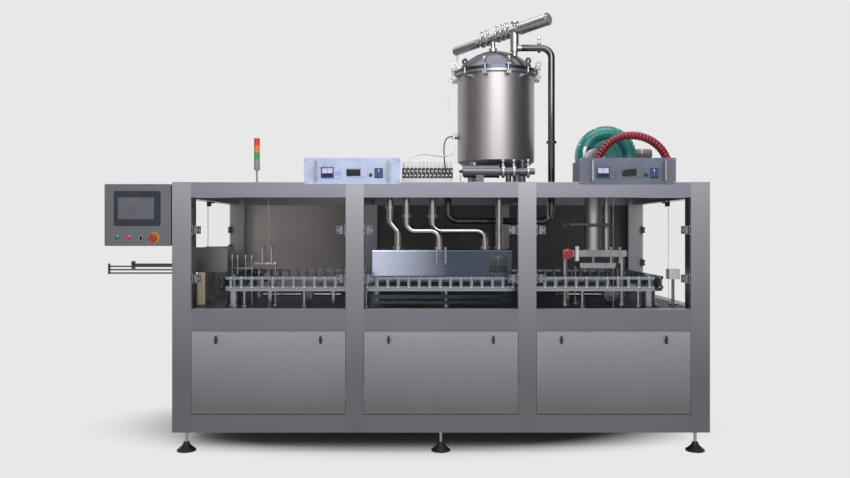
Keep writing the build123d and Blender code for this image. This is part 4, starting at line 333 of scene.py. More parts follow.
# Plastics, enamels and coatings: name, lighter and darker tone, roughness, and where they differ, the
# grit in mm, relief and metallic
MOULDINGS = {
    # Black nylon latches, caps and valve bodies
    "black": ("moulded_black_nylon", "#1B1C1F", "#101113", 0.38),
    # Foot pads: dull black rubber
    "foot": ("moulded_black_foot", "#17171A", "#0D0D0F", 0.55, 1.4),
    # Screen surround: dark blue gloss plastic
    "bezel": ("moulded_navy_bezel", "#1A2533", "#121A25", 0.25),
    # Unlit display glass, a warm grey
    "screen": ("unlit_display_glass", "#5E5B64", "#514E58", 0.16, 0.9, 0.02),
    # Push buttons, gloss plastic
    "green": ("moulded_green_button", "#1F6E4C", "#18533A", 0.30),
    "red": ("moulded_red_button", "#A52A33", "#821A22", 0.30),
    # Emergency stop's plate: gloss yellow
    "yellow": ("moulded_yellow_plate", "#B88A2C", "#96701F", 0.45),
    # Rocker switches: dark blue plastic
    "navy": ("moulded_navy_rocker", "#26407E", "#1A2D5C", 0.30),
    # Signal tower's housing and its tinted lenses
    "tower": ("moulded_grey_housing", "#8B8F93", "#787C80", 0.40),
    "green_lens": ("green_tower_lens", "#3FA066", "#2F8350", 0.18),
    "amber_lens": ("amber_tower_lens", "#E0852F", "#C46E20", 0.18),
    "red_lens": ("red_tower_lens", "#D8453A", "#B8322A", 0.18),
    # Powder-coated generator fronts: a pale periwinkle one and a grey one
    "pale_front": ("coated_pale_front", "#BAC4E0", "#A2AFD0", 0.45, 1.2),
    "grey_front": ("coated_grey_front", "#626877", "#535866", 0.45, 1.2),
    # Meter glass over a pale scale, and the dark half below it
    "scale": ("pale_meter_scale", "#C9CCEC", "#B6BADF", 0.14, 0.9, 0.02),
    "display": ("dark_display_window", "#11161F", "#090C12", 0.12, 0.9, 0.02),
    # Teal enamel on cast aluminium: thick, glossy, slightly pebbled
    "enamel": ("teal_enamel", "#1F7F77", "#16625C", 0.30, 2.5, 0.3),
    # The blower's left rim and ribs, painted paler enamel as painted light on the side the light reaches
    "enamel_rim": ("pale_teal_enamel", "#5FA9A2", "#3C8A83", 0.32, 2.5, 0.3),
    # Motor and silencer: brownish grey enamel
    "motor": ("grey_enamel", "#6A6460", "#4F4A47", 0.42, 2.5, 0.3),
    # Pale anodised valve base
    "base": ("anodised_valve_base", "#D2D3D2", "#BDBFBF", 0.40, 0.9, 0.15, 0.2),
    # White nylon fittings and blocks
    "white": ("white_nylon", "#E2E2DF", "#CBCCCA", 0.40),
    # Cream powder-coated guard
    "cream": ("cream_coated_guard", "#D6CFB2", "#C2BA9A", 0.45, 1.4),
    # Cable sheath: black vinyl
    "cable": ("black_cable_sheath", "#18191B", "#0F1012", 0.50),
    # Wire-reinforced hose: glossy ribs, paler as the hose's own, on a dark red ground painted darker still as
    # painted shade in the grooves
    "hose": ("red_hose_ground", "#45080F", "#2C040A", 0.42, 2.0),
    "hose_rib": ("red_hose_rib", "#9C1B30", "#7C1326", 0.14, 2.0, 0.05),
    # Top faces of the sills, lighter and less metallic than the frame: a painted strip of light from above
    "sill": ("painted_light_sill", "#B4B7BD", "#9FA2A8", 0.45, 0.9, 0.15, 0.3),
}


def make_finishes():
    """Every finish by its short name."""
    made = {key: brushed_steel(*values) for key, values in STEELS.items()}
    made.update({key: clear_sheet(*values) for key, values in SHEETS.items()})
    made.update({key: moulded(*values) for key, values in MOULDINGS.items()})
    return made


FINISHES = {}


def dress(names, finish, *regions):
    """Give CAD nodes a finish, and other finishes to the faces whose middle lies in a box."""
    for name in names:
        obj = NODES[name]
        mesh = obj.data
        mesh.materials.clear()
        mesh.materials.append(FINISHES[finish])
        for other, low, high in regions:
            mesh.materials.append(FINISHES[other])
            place = len(mesh.materials) - 1
            for face in mesh.polygons:
                middle = obj.matrix_world @ face.center
                if all(low[axis] <= middle[axis] <= high[axis] for axis in range(3)):
                    face.material_index = place


def within(x=(-FAR, FAR), y=(-FAR, FAR), z=(-FAR, FAR)):
    """A box in metres, which reaches past the machine where it isn't bounded."""
    return Vector((x[0], y[0], z[0])), Vector((x[1], y[1], z[1]))


def deselect():
    if bpy.context.object and bpy.context.object.mode != "OBJECT":
        bpy.ops.object.mode_set(mode="OBJECT")
    bpy.ops.object.select_all(action="DESELECT")


def settle(obj, name, finish, body=MAIN_BODY):
    """Put a finished piece's place in its mesh, name it, and let it ride with its body."""
    deselect()
    obj.select_set(True)
    bpy.context.view_layer.objects.active = obj
    bpy.ops.object.transform_apply(location=True, rotation=True, scale=True)
    bpy.ops.object.shade_smooth_by_angle(angle=radians(35))
    obj.name = name
    obj.data.name = name
    obj.data.materials.clear()
    obj.data.materials.append(FINISHES[finish])
    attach(obj, body)
    return obj


def paint(obj, finish, test):
    """Another finish on the faces of a settled piece that pass a test on their middle and normal."""
    obj.data.materials.append(FINISHES[finish])
    for face in obj.data.polygons:
        if test(face.center, face.normal):
            face.material_index = len(obj.data.materials) - 1


def turned_piece(steps, segments=16):
    """A round piece drawn up from a disc at the origin; each step is (height, radius) in millimetres."""
    deselect()
    bpy.ops.mesh.primitive_circle_add(vertices=segments, radius=steps[0][1] / 1000, fill_type="NGON")
    obj = bpy.context.object
    bpy.ops.object.mode_set(mode="EDIT")
    bpy.ops.mesh.select_all(action="SELECT")
    bpy.ops.transform.translate(value=(0, 0, steps[0][0] / 1000))
    for before, after in zip(steps, steps[1:]):
        rise = (after[0] - before[0]) / 1000
        grow = after[1] / before[1]
        bpy.ops.mesh.extrude_region_move(TRANSFORM_OT_translate={"value": (0, 0, rise)})
        bpy.ops.transform.resize(value=(grow, grow, 1), center_override=(0, 0, after[0] / 1000))
    bpy.ops.mesh.select_all(action="SELECT")
    bpy.ops.mesh.normals_make_consistent(inside=False)
    bpy.ops.object.mode_set(mode="OBJECT")
    return obj


def block(low, high, bevel=1.0, segments=2):
    """A block between two corners in body millimetres, with its edges broken."""
    deselect()
    first, last = row(*low), row(*high)
    middle = (first + last) / 2
    bpy.ops.mesh.primitive_cube_add(size=1, location=middle)
    obj = bpy.context.object
    bpy.ops.object.mode_set(mode="EDIT")
    bpy.ops.mesh.select_all(action="SELECT")
    bpy.ops.transform.resize(value=tuple(last - first), center_override=tuple(middle))
    bpy.ops.mesh.bevel(offset=bevel / 1000, segments=segments, affect="EDGES")
    bpy.ops.object.mode_set(mode="OBJECT")
    return obj


def pick_faces(obj, test):
    """In edit mode, select only the faces that pass a test on their middle and normal."""
    deselect()
    obj.select_set(True)
    bpy.context.view_layer.objects.active = obj
    bpy.ops.object.mode_set(mode="EDIT")
    bpy.ops.mesh.select_mode(type="FACE")
    bpy.ops.mesh.select_all(action="DESELECT")
    bpy.ops.object.mode_set(mode="OBJECT")
    for face in obj.data.polygons:
        face.select = test(obj.matrix_world @ face.center, face.normal)
    bpy.ops.object.mode_set(mode="EDIT")


def joined(pieces):
    deselect()
    bpy.context.view_layer.update()
    for piece in pieces:
        piece.select_set(True)
    bpy.context.view_layer.objects.active = pieces[0]
    bpy.ops.object.join()
    return pieces[0]


def aimed(point, direction):
    """The matrix that stands a piece on a point in body millimetres, along a direction."""
    return Matrix.Translation(row(*point)) @ Vector(direction).to_track_quat("Z", "Y").to_matrix().to_4x4()


def scattered(steps, places, segments=12):
    """A turned piece modelled once and copied to each (point, direction), each copy with its own mesh."""
    master = turned_piece(steps, segments)
    made = [master]
    for place in places[1:]:
        twin = master.copy()
        twin.data = master.data.copy()
        bpy.context.collection.objects.link(twin)
        twin.matrix_world = aimed(*place)
        made.append(twin)
    master.matrix_world = aimed(*places[0])
    return joined(made)


def turned_set(name, finish, steps, places, segments=12, body=MAIN_BODY):
    """A settled piece: a turned shape at each of its places."""
    return settle(scattered(steps, places, segments), name, finish, body)


def block_piece(name, finish, low, high, bevel, body=MAIN_BODY):
    """A settled piece: one block with its edges broken."""
    return settle(block(low, high, bevel), name, finish, body)


def mm(metres):
    return metres * 1000


def length(name, description, default):
    return bpy.props.FloatProperty(name=name, description=description, default=default,
                                   unit="LENGTH", subtype="DISTANCE")


class FillingMachineSizes(bpy.types.PropertyGroup):
    hose_diameter: length("Hose diameter", "Blower hose across its ribs", 0.048)
    tube_diameter: length("Air tube diameter", "Tube to the lid valve", 0.008)
    cable_diameter: length("Cable diameter", "Cable to the tank sensor", 0.007)
    cap_radius: length("Hinge cap radius", "Black caps on the hinge clamps", 0.005)
    bolt_radius: length("Chain bolt radius", "Domed bolts of the chain links", 0.0055)
    screw_radius: length("Skin screw radius", "Pan heads along the fixed skins", 0.005)


class FillingMachineColours(bpy.types.PropertyGroup):
    backdrop: bpy.props.StringProperty(name="Backdrop", description="Colour behind the machine",
                                       default="#E8E8E8")
    floor: bpy.props.StringProperty(name="Floor", description="Colour of the floor", default="#E8E8E8")


# Nodes that take one finish all over
# The roof sheet, work deck, supply pipe and outlet valve take finishes with painted light and shade in their
# tones
NODE_FINISHES = {
    "roof_sheet": "rail", "work_deck": "deck", "infeed_rails": "dark_bar", "holder_chain": "holder",
    "process_pipes": "bright_pipe", "supply_pipe": "pipe", "lid_valves": "barrel", "swing_bolts": "barrel",
    "outlet_valve": "shaded_barrel", "sealing_jaw": "fitting", "tank_shell": "tank", "tank_lid": "lid",
    "gear_motor": "motor",
}
FINISHES_BY_ENDING = {"_wheel": "fitting", "_cupboard_panel": "panel", "_latch": "black"}


class FILLING_OT_finishes(bpy.types.Operator):
    """Make the finishes and put them on the machine's own pieces"""
    bl_idname = "filling.finishes"
    bl_label = "Machine finishes"

    def execute(self, context):
        FINISHES.update(make_finishes())
        for name, finish in NODE_FINISHES.items():
            dress([name], finish)
        for ending, finish in FINISHES_BY_ENDING.items():
            dress([name for name in NODES if name.endswith(ending)], finish)
        level = []
        for left, right in BAY_EDGES:
            span = (row(left - 1, 0, 0)[0], row(right + 1, 0, 0)[0])
            level += [("rail", *within(span, z=heights)) for heights in RAIL_HEIGHTS]
        # The sills' top faces take a lighter finish: a painted strip of light from above
        level.append(("sill", *within(y=(FRONT_FACE, FRONT_FACE + SILL_DEPTH), z=SILL_HEIGHTS)))
        dress(["main_frame"], "post", *level)
        right_face = row(BODY_RIGHT, 0, 0)[0]
        outside = (within(y=(BACK_FACE, FAR)), within((-FAR, BODY_LEFT)), within((right_face, FAR)))
        dress(["fixed_skins", "infeed_infill"], "skin", *[("outer_skin", *space) for space in outside])
        dress(["hinge_mounts"], "clamp", ("black", *within(y=(-0.10, 0.10), z=(1.2, 1.3))))
        dress(["levelling_feet"], "foot", ("fitting", *within(z=(0.046, 0.2))))
        # The middle bay's front chain rail takes the deck finish and its painted shade
        dress(["chain_rails"], "fitting", ("deck", row(980, 100, 730), row(1740, 140, 785)),
              ("white", row(2540, 220, 850), row(2640, 300, 920)))
        dress(["carton_magazine"], "cheek", ("cream", row(45, 280, 710), row(95, 300, 888)))
        dress(["filling_hood"], "hood", ("fitting", row(1100, 160, 880), row(1610, 200, 1010)))
        dress(["sealing_station"], "tank", ("black", row(1990, 238, 1130), row(2118, 262, 1152)),
              ("fitting", row(1980, 200, 970), row(2335, 300, 1010)))
        for name in NODES:
            if "_door" in name:
                dress_door(name)
        return {"FINISHED"}


def dress_door(name):
    """Clear pane with its sawn edges painted bright as a highlight, grey hinge halves and a bright handle."""
    obj = NODES[name]
    on_front = name.startswith("front_door")
    thin = 1 if on_front else 0
    middle = PANE_MIDDLES[name.split("_")[0]]
    handle = BODY_FRONT - HANDLE_REACH / 1000
    dress([name], "acrylic")
    for finish in ("clamp", "fitting", "acrylic_edge"):
        obj.data.materials.append(FINISHES[finish])
    for face in obj.data.polygons:
        points = [obj.data.vertices[v].co for v in face.vertices]
        # The pane lies within its 6 mm; clamps, barrels, grips and posts have a point outside it
        if any(abs(point[thin] - middle) > PANE_HALF for point in points):
            face.material_index = 2 if on_front and handle < face.center[1] < BODY_FRONT else 1
        # Edge faces of the pane take the near-white edge finish, a painted highlight
        elif abs(face.normal[thin]) < 0.5:
            face.material_index = 3


class FILLING_OT_controls(bpy.types.Operator):
    """Finish the control box, its screen and its four controls"""
    bl_idname = "filling.controls"
    bl_label = "Control box"

    def execute(self, context):
        dress(["control_box"], "box")
        dress(["control_fascia"], "bezel", ("screen", row(-272, -6, 1167), row(-86, -2.0, 1280)),
              ("yellow", row(-124, -9, 1043), row(-60, 0.5, 1107)),
              ("fitting", row(-296, -9, 1055), row(-140, 0.5, 1095)))
        dress(["start_button"], "green")
        dress(["stop_button", "emergency_stop"], "red")
        dress(["selector_switch"], "black")
        # Pointer line on the selector's knob
        block_piece("selector_pointer", "white", (SELECTOR_X - 1.2, -19.2, 1067),
                    (SELECTOR_X + 1.2, -17.6, 1084), 0.4, "selector_switch")
        return {"FINISHED"}


class FILLING_OT_hinge_caps(bpy.types.Operator):
    """Black caps on both sides of every door's hinge clamps"""
    bl_idname = "filling.hinge_caps"
    bl_label = "Hinge caps"

    def execute(self, context):
        radius = mm(context.scene.filling_sizes.cap_radius)
        steps = ((0, radius), (2.2, radius), (3.4, radius * 0.7))
        # Each door's name, its clamps' middle line, the way out of it, and its lower clamp
        doors = []
        for index, (left, right) in enumerate(BAY_EDGES):
            for number, x in ((2 * index + 1, left + CAP_U), (2 * index + 2, right - CAP_U)):
                doors.append((f"front_door_{number}", x, 0, (0, -1), FRONT_LOWER_CLAMP))
        for side, x, out, lower in (("right", BODY_RIGHT, 1, 904), ("left", 0, -1, 1000)):
            for end, y in (("front", END_DOOR_NEAR + CAP_U), ("rear", END_DOOR_FAR - CAP_U)):
                doors.append((f"{side}_end_{end}_door", x, y, (out, 0), lower))
        for door, x, y, out, lower in doors:
            places = []
            for level in (UPPER_CLAMP, lower):
                for z in (level - CAP_RISE, level + CAP_RISE):
                    for depth, way in ((PANE_OUTSIDE, 1), (PANE_INSIDE, -1)):
                        spot = (x - depth * out[0], y - depth * out[1], z)
                        places.append((spot, (way * out[0], way * out[1], 0)))
            turned_set(f"{door}_hinge_caps", "black", steps, places, body=door)
        return {"FINISHED"}


def loop_places(count):
    """Where each of the chain's holders stands, and the way out of the loop there."""
    left, right = CHAIN_X[0] + CHAIN_CORNER, CHAIN_X[1] - CHAIN_CORNER
    front, back = CHAIN_Y[0] + CHAIN_CORNER, CHAIN_Y[1] - CHAIN_CORNER
    centres = ((right, front), (right, back), (left, back), (left, front))
    runs = (right - left, back - front, right - left, back - front)
    quarter = pi * CHAIN_CORNER / 2
    pitch = (sum(runs) + 4 * quarter) / count
    found = []
    for index in range(count):
        distance = index * pitch
        side = 0
        while distance >= runs[side] + quarter:
            distance -= runs[side] + quarter
            side += 1
        turn = max(0.0, distance - runs[side]) / CHAIN_CORNER
        angle = pi / 2 * (side - 1) + turn
        short = max(0.0, runs[side] - distance)
        x = centres[side][0] + CHAIN_CORNER * cos(angle) - short * cos(angle + pi / 2)
        y = centres[side][1] + CHAIN_CORNER * sin(angle) - short * sin(angle + pi / 2)
        found.append((x, y, (cos(angle), sin(angle), 0)))
    return found


class FILLING_OT_chain_bolts(bpy.types.Operator):
    """Bright domed bolts on the upper and lower links of every holder"""
    bl_idname = "filling.chain_bolts"
    bl_label = "Chain bolts"

    def execute(self, context):
        radius = mm(context.scene.filling_sizes.bolt_radius)
        places = []
        for x, y, out in loop_places(HOLDERS):
            for level in BOLT_LEVELS:
                places.append(((x + HOLDER_FACE * out[0], y + HOLDER_FACE * out[1], level), out))
        steps = ((0, radius), (1.6, radius), (3.0, radius * 0.8), (3.8, radius * 0.35))
        turned_set("chain_link_bolts", "bolt", steps, places, 10)
        return {"FINISHED"}


class FILLING_OT_roof_units(bpy.types.Operator):
    """Finish the signal tower, generators, valve manifold and blower"""
    bl_idname = "filling.roof_units"
    bl_label = "Units on the roof"

    def execute(self, context):
        lenses = [(finish, *within(z=heights)) for finish, heights in LENS_HEIGHTS.items()]
        dress(["signal_tower"], "tower", *lenses)
        regions = [("grey_front", row(2000, -9, 1300), row(2600, 400, 1500))]
        for start in GENERATOR_XS:
            regions.append(("black", row(start + 322, -20, PLATE_FOOT + 36),
                            row(start + 344, -3.4, PLATE_FOOT + 56)))
            for handle in HANDLE_XS:
                regions.append(("fitting", row(start + handle - 6, -50, PLATE_FOOT + 14),
                                row(start + handle + 6, -3.4, PLATE_FOOT + 119)))
        dress(["generators"], "pale_front", *regions)
        dress(["left_generator_switch", "right_generator_switch"], "navy")
        dress(["valve_manifold"], "black", ("base", row(1140, 50, 1350), row(1412, 130, 1377.5)),
              ("white", row(1140, 50, 1430.5), row(1412, 130, 1450)))
        # The blower's left side takes the paler enamel: painted light
        dress(["ring_blower"], "enamel", ("enamel_rim", row(2136, 624, 1360), row(2182, 680, 1680)),
              ("fitting", row(2170, 500, 1450), row(2295, 623, 1590)),
              ("fitting", row(2570, 360, 1350), row(2670, 470, 1390)),
              ("fitting", row(2180, 400, 1350), row(2250, 470, 1435)),
              ("motor", row(2486, 640, 1500), row(2620, 750, 1620)),
              ("motor", row(2200, 712, 1440), row(2440, 960, 1660)))
        return {"FINISHED"}


def framed_window(x, z, front, split=None):
    """A bevelled frame on a generator's front with its glass sunk in it, cut in two at the split."""
    obj = block((x[0], front, z[0]), (x[1], PLATE_FACE, z[1]), 1.2)
    pick_faces(obj, lambda middle, normal: normal[1] < -0.99)
    bpy.ops.mesh.inset(thickness=0.0045)
    bpy.ops.mesh.extrude_region_move(TRANSFORM_OT_translate={"value": (0, 0.0016, 0)})
    bpy.ops.mesh.select_all(action="SELECT")
    if split:
        bpy.ops.mesh.bisect(plane_co=(0, 0, split / 1000), plane_no=(0, 0, 1))
    bpy.ops.object.mode_set(mode="OBJECT")
    return obj


class FILLING_OT_generator_fronts(bpy.types.Operator):
    """Meter, display, lamps and switch marks on the two generator fronts"""
    bl_idname = "filling.generator_fronts"
    bl_label = "Generator fronts"

    def execute(self, context):
        split = PLATE_FOOT + METER_SPLIT
        glass = row(0, -10.4, 0)[1]
        for side, start in (("left", GENERATOR_XS[0]), ("right", GENERATOR_XS[1])):
            meter_x = [start + x for x in METER_X]
            window = framed_window(meter_x, [PLATE_FOOT + z for z in METER_Z], -11.0, split)
            meter = settle(window, f"{side}_generator_meter", "navy")
            for finish, way in (("scale", 1), ("display", -1)):
                paint(meter, finish, lambda middle, normal: normal[1] < -0.9 and middle[1] > glass
                      and way * middle[2] > way * split / 1000)
            window = framed_window([start + x for x in DISPLAY_X], [PLATE_FOOT + z for z in DISPLAY_Z], -10.0)
            settle(window, f"{side}_generator_display", "display")
            x, z = sum(meter_x) / 2, split + 3
            block_piece(f"{side}_generator_needle", "display", (x - 0.8, -10.2, z),
                        (x + 0.8, -9.5, z + 20), 0.3)
            lamps = [((start + x, -8.3, PLATE_FOOT + z), (0, -1, 0)) for x in LAMP_XS for z in LAMP_ZS]
            turned_set(f"{side}_generator_lamps", "navy", ((0, 2.6), (1.4, 2.6), (2.4, 1.4)), lamps)
            # A plain bar on the rocker's flush half
            x, z = start + ROCKER_MIDDLE[0], PLATE_FOOT + ROCKER_MIDDLE[1]
            block_piece(f"{side}_switch_mark", "white", (x - 2, PLATE_FACE - 0.5, z + 5),
                        (x + 2, PLATE_FACE + 0.1, z + 19), 0.2, f"{side}_generator_switch")
            # Screws at the plate's corners
            screws = [((start + x, PLATE_FACE, PLATE_FOOT + z), (0, -1, 0))
                      for x in PLATE_SCREW_XS for z in PLATE_SCREW_ZS]
            steps = ((0, 4.2), (1.6, 4.2), (2.6, 2.6))
            turned_set(f"{side}_plate_screws", "fitting", steps, screws)
        return {"FINISHED"}


class FILLING_OT_manifold_fittings(bpy.types.Operator):
    """Bright buttons on the valves' fronts, push-in fittings on their tops, and the end bracket"""
    bl_idname = "filling.manifold_fittings"
    bl_label = "Manifold fittings"

    def execute(self, context):
        pitch = (MANIFOLD_X[1] - MANIFOLD_X[0]) / VALVES
        xs = [MANIFOLD_X[0] + pitch * (index + 0.5) for index in range(VALVES)]
        buttons = [((x + shift, 64, z), (0, -1, 0)) for x in xs for shift, z in ((-3, 1391), (3, 1413))]
        steps = ((0, 4.2), (2.0, 4.2), (3.2, 2.2))
        turned_set("manifold_buttons", "bolt", steps, buttons)
        plugs = [((x, 90, 1442), (0, 0, 1)) for index, x in enumerate(xs) if index != TUBED_VALVE]
        steps = ((0, 6.0), (2, 6.6), (6, 6.6), (7, 5.2), (15, 5.2), (16, 6.4), (22, 5.6))
        turned_set("manifold_push_fittings", "white", steps, plugs, 14)
        foot = block((1444, 66, 1355), (1460, 114, 1362), 1.0)
        upright = block((1444, 66, 1362), (1450, 114, 1402), 1.0)
        settle(joined([foot, upright]), "manifold_end_bracket", "cream")
        return {"FINISHED"}


def bolt_circle(middle, radius, count, first=0.0):
    """Places round a circle that faces the front, and the way out of it."""
    x, y, z = middle
    angles = [2 * pi * (index + first) / count for index in range(count)]
    return [((x + radius * cos(angle), y, z + radius * sin(angle)), (0, -1, 0)) for angle in angles]


class FILLING_OT_blower_trim(bpy.types.Operator):
    """Rim bolts, cover bolts and the silencer's clamp on the ring blower"""
    bl_idname = "filling.blower_trim"
    bl_label = "Blower trim"

    def execute(self, context):
        x, y, z = BLOWER_AXIS
        rim = bolt_circle((x, y - 22.5, z), RIM_RADIUS, RIM_BOLTS, 0.5)
        turned_set("blower_rim_bolts", "fitting", ((0, 7), (5, 7), (6, 5.5)), rim, 6)
        cover = bolt_circle(COVER_MIDDLE, COVER_RADIUS, COVER_BOLTS)
        turned_set("blower_cover_bolts", "bolt", ((0, 5), (3.5, 5), (4.5, 3.6)), cover, 6)
        band = ((0, 28.2), (0.5, 30.5), (9.5, 30.5), (10, 28.2))
        spot = ((x + 210, y + 44, z + 20), (1, 0, 0))
        turned_set("silencer_band", "fitting", band, [spot], 32)
        return {"FINISHED"}


class FILLING_OT_bay_fittings(bpy.types.Operator):
    """Small fittings in the bays: hand wheel, air cylinder, rods, a black sheet of painted shade behind the
    hood window, beam, shafts
    """
    bl_idname = "filling.bay_fittings"
    bl_label = "Fittings in the bays"

    def execute(self, context):
        slot = "polished_fitting"
        # Red hand wheel on the crosshead's front, with its hub
        x, z = RED_WHEEL
        rim = ((0, 12), (8, 12), (8.5, 24), (10, 28), (17, 28), (19, 24), (19.5, 12), (22, 9))
        turned_set("red_hand_wheel", "red", rim, [((x, CROSSHEAD_FRONT, z), (0, -1, 0))], 28)
        # White air cylinder clipped to the crosshead's front
        x, low, high = AIR_CYLINDER
        tall = high - low
        steps = ((0, 7), (2, 11), (10, 11), (10.5, 9.6), (tall - 10, 9.6), (tall - 9.5, 11), (tall - 2, 11),
                 (tall, 6))
        spot = ((x, CROSSHEAD_FRONT - 11.1, low), (0, 0, 1))
        turned_set("white_air_cylinder", "white", steps, [spot], 20)
        # Ball-ended rod hanging from the roof
        x, y, ball = HANGING_ROD
        drop = ROOF_UNDER - ball
        steps = ((0, 14), (5, 14), (5.5, 4.5), (drop - 13, 4.5), (drop - 10, 8), (drop - 5, 11.5),
                 (drop + 1, 12.5), (drop + 7, 10.5), (drop + 11, 6))
        spot = ((x, y, ROOF_UNDER), (0, 0, -1))
        piece = turned_set("hanging_ball_rod", "fitting", steps, [spot], 18)
        paint(piece, "black", lambda middle, normal: middle[2] < (ball + 14) / 1000)
        # A black sheet behind the hood's window, painted shade for the dark inside of the hood, with its
        # upright bar
        block_piece("hood_window_shade_sheet", "black", (1593, 113, 895), (1692, 115, 984), 0.5)
        block_piece("hood_window_bar", "hood", (1638, 109.2, 898), (1647, 113, 981), 0.5)
        # A bar over the left run of the chain, on a post that stands on the deck behind it
        beam = block((372, 196, 934), (486, 212, 944), 1.5)
        post = scattered(((0, 20), (7, 20), (8, 7), (217, 7)), [((478, 222, DECK), (0, 0, 1))], 20)
        arm = block((470, 204, 930), (486, 232, 946), 1.5)
        settle(joined([beam, post, arm]), "opening_beam", "fitting")
        # Black cross bar clamped on the front of the sealing tube
        block_piece("tube_cross_bar", "black", (2022, 191, 1134), (2258, 205.5, 1149), 2.0)
        # Guide rods beside the magazine, standing on the deck inside the chain's loop
        rods = [((x, y, DECK), (0, 0, 1)) for x, y in GUIDE_RODS]
        steps = ((0, 15), (7, 15), (8, 6), (236, 6), (238, 10), (250, 10), (252, 6), (264, 4))
        turned_set("magazine_guide_rods", "fitting", steps, rods, 16)
        block_piece("guide_rod_plate", "cheek", (218, 294, 905), (350, 328, 913), 1.5)
        self.under_chain(slot)
        return {"FINISHED"}

    def under_chain(self, slot):
        """Cross shafts in bearing blocks under both side bays' chain, each with a round gear case."""
        y, z = UNDER_SHAFT
        for name, low, high, case in (("left", 392, 812, 640), ("right", 1990, 2330, 2250)):
            pieces = [scattered(((0, 9), (high - low, 9)), [((low, y, z), (1, 0, 0))], 20)]
            for x in (low + 30, high - 50):
                pieces.append(block((x, y - 16, DECK), (x + 22, y + 16, z + 20), 4.0, 3))
            settle(joined(pieces), f"{name}_cross_shaft", "fitting")
            rings = ((0, 20), (12, 26), (14, 34), (46, 34), (48, 30), (56, 30), (58, 12), (66, 12), (68, 8))
            spot = ((case, y - 20, z - 2), (0, -1, 0))
            # The gear case takes the barrel's darker tones: painted shade under the chain
            turned_set(f"{name}_gear_case", "shaded_barrel", rings, [spot], 28)


class FILLING_OT_clamp_bolts(bpy.types.Operator):
    """Bands and wing bolts of the sanitary clamps, and the outlet actuator's air fitting"""
    bl_idname = "filling.clamp_bolts"
    bl_label = "Clamp bolts"

    def execute(self, context):
        turn, tilt = radians(LID_LINE_TURN), radians(LID_LINE_TILT)
        heading = Vector((cos(tilt) * cos(turn), cos(tilt) * sin(turn), sin(tilt)))
        up = (Vector((0, 0, 1)) - heading * heading.z).normalized()
        y, z = OUTLET_AXIS
        rings = [Vector(LID_LINE) + heading * middle for middle in CLAMP_RINGS]
        bolts = [(tuple(ring + up * 32), tuple(up)) for ring in rings]
        bolts.append(((SUPPLY_RING[0], SUPPLY_RING[1], SUPPLY_RING[2] + 25), (0, 0, 1)))
        bolts += [((x, y, z + 32), (0, 0, 1)) for x in OUTLET_RINGS]
        bands = [(tuple(ring - heading * BAND_WIDTH / 2), tuple(heading)) for ring in rings]
        bands += [((x - BAND_WIDTH / 2, y, z), (1, 0, 0)) for x in OUTLET_RINGS]
        band = ((0, 27.5), (1.5, 33), (5, 34.5), (13, 34.5), (16.5, 33), (BAND_WIDTH, 27.5))
        turned_set("heavy_clamp_bands", "barrel", band, bands, 28)
        steps = ((0, 10), (9, 10), (10, 4), (19, 4), (19.5, 7), (23, 10.5), (29, 10.5), (33, 6))
        turned_set("clamp_wing_bolts", "bolt", steps, bolts, 14)
        # Black push-in fitting on the end of the outlet's actuator
        steps = ((0, 11), (4, 11), (5, 8), (14, 8), (15, 5.5), (20, 5.5))
        turned_set("actuator_air_fitting", "black", steps, [((1468, y, z), (-1, 0, 0))], 18)
        return {"FINISHED"}


class FILLING_OT_skin_screws(bpy.types.Operator):
    """Pan-headed screws along the edges of the rear and end skins"""
    bl_idname = "filling.skin_screws"
    bl_label = "Skin screws"

    def execute(self, context):
        radius = mm(context.scene.filling_sizes.screw_radius)
        places = []
        for left, right in BAY_EDGES:
            xs = [left - 10 + (right - left + 20) * step / 4 for step in range(5)]
            for low, high in ((192, 610), (DECK, 1278)):
                zs = [low - 10 + (high - low + 20) * step / 3 for step in range(4)]
                places += [((x, SKIN_BACK, z), (0, 1, 0)) for x, z in edge_places(xs, zs)]
        near, far = END_SCREW_YS
        ys = [near + (far - near) * step / 4 for step in range(5)]
        for x, out in ((-SKIN_SIDE, -1), (BODY_RIGHT + SKIN_SIDE, 1)):
            places += [((x, y, z), (out, 0, 0)) for y, z in edge_places(ys, END_SCREW_ZS)]
        steps = ((0, radius), (1.4, radius), (2.4, radius * 0.6))
        turned_set("skin_screws", "fitting", steps, places, 10)
        return {"FINISHED"}


def edge_places(across, heights):
    """The outer places of a grid: its first and last rows, and the ends of those between."""
    found = [(u, z) for u in across for z in (heights[0], heights[-1])]
    return found + [(u, z) for z in heights[1:-1] for u in (across[0], across[-1])]


def route_curve(name, route):
    """A smooth open spline with the route's points as its control points."""
    curve = bpy.data.curves.new(name, "CURVE")
    curve.dimensions = "3D"
    spline = curve.splines.new("NURBS")
    spline.points.add(len(route) - 1)
    for point, place in zip(spline.points, route):
        point.co = (*row(*place), 1.0)
    spline.order_u = 3
    spline.use_endpoint_u = True
    spline.resolution_u = 12
    obj = bpy.data.objects.new(name, curve)
    bpy.context.collection.objects.link(obj)
    return obj


def declare_cord(obj, node):
    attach(obj, MAIN_BODY)
    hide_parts(node)


def lay_cord(name, node, route, diameter, finish):
    """One free cord with a round section."""
    obj = route_curve(name, route)
    obj.data.bevel_depth = diameter / 2
    obj.data.bevel_resolution = 5
    obj.data.use_fill_caps = True
    obj.data.materials.append(FINISHES[finish])
    declare_cord(obj, node)


def spline_points(route):
    """Points read from the route's spline, which has no bevel."""
    guide = route_curve("guide_line", route)
    line = bpy.data.meshes.new_from_object(guide)
    points = [vertex.co.copy() for vertex in line.vertices]
    bpy.data.objects.remove(guide)
    return points


def along(points, distance):
    """The place and heading at a distance along a line of points."""
    for first, last in zip(points, points[1:]):
        step = (last - first).length
        if distance <= step:
            return first.lerp(last, distance / step), (last - first).normalized()
        distance -= step
    return points[-1].copy(), (points[-1] - points[-2]).normalized()


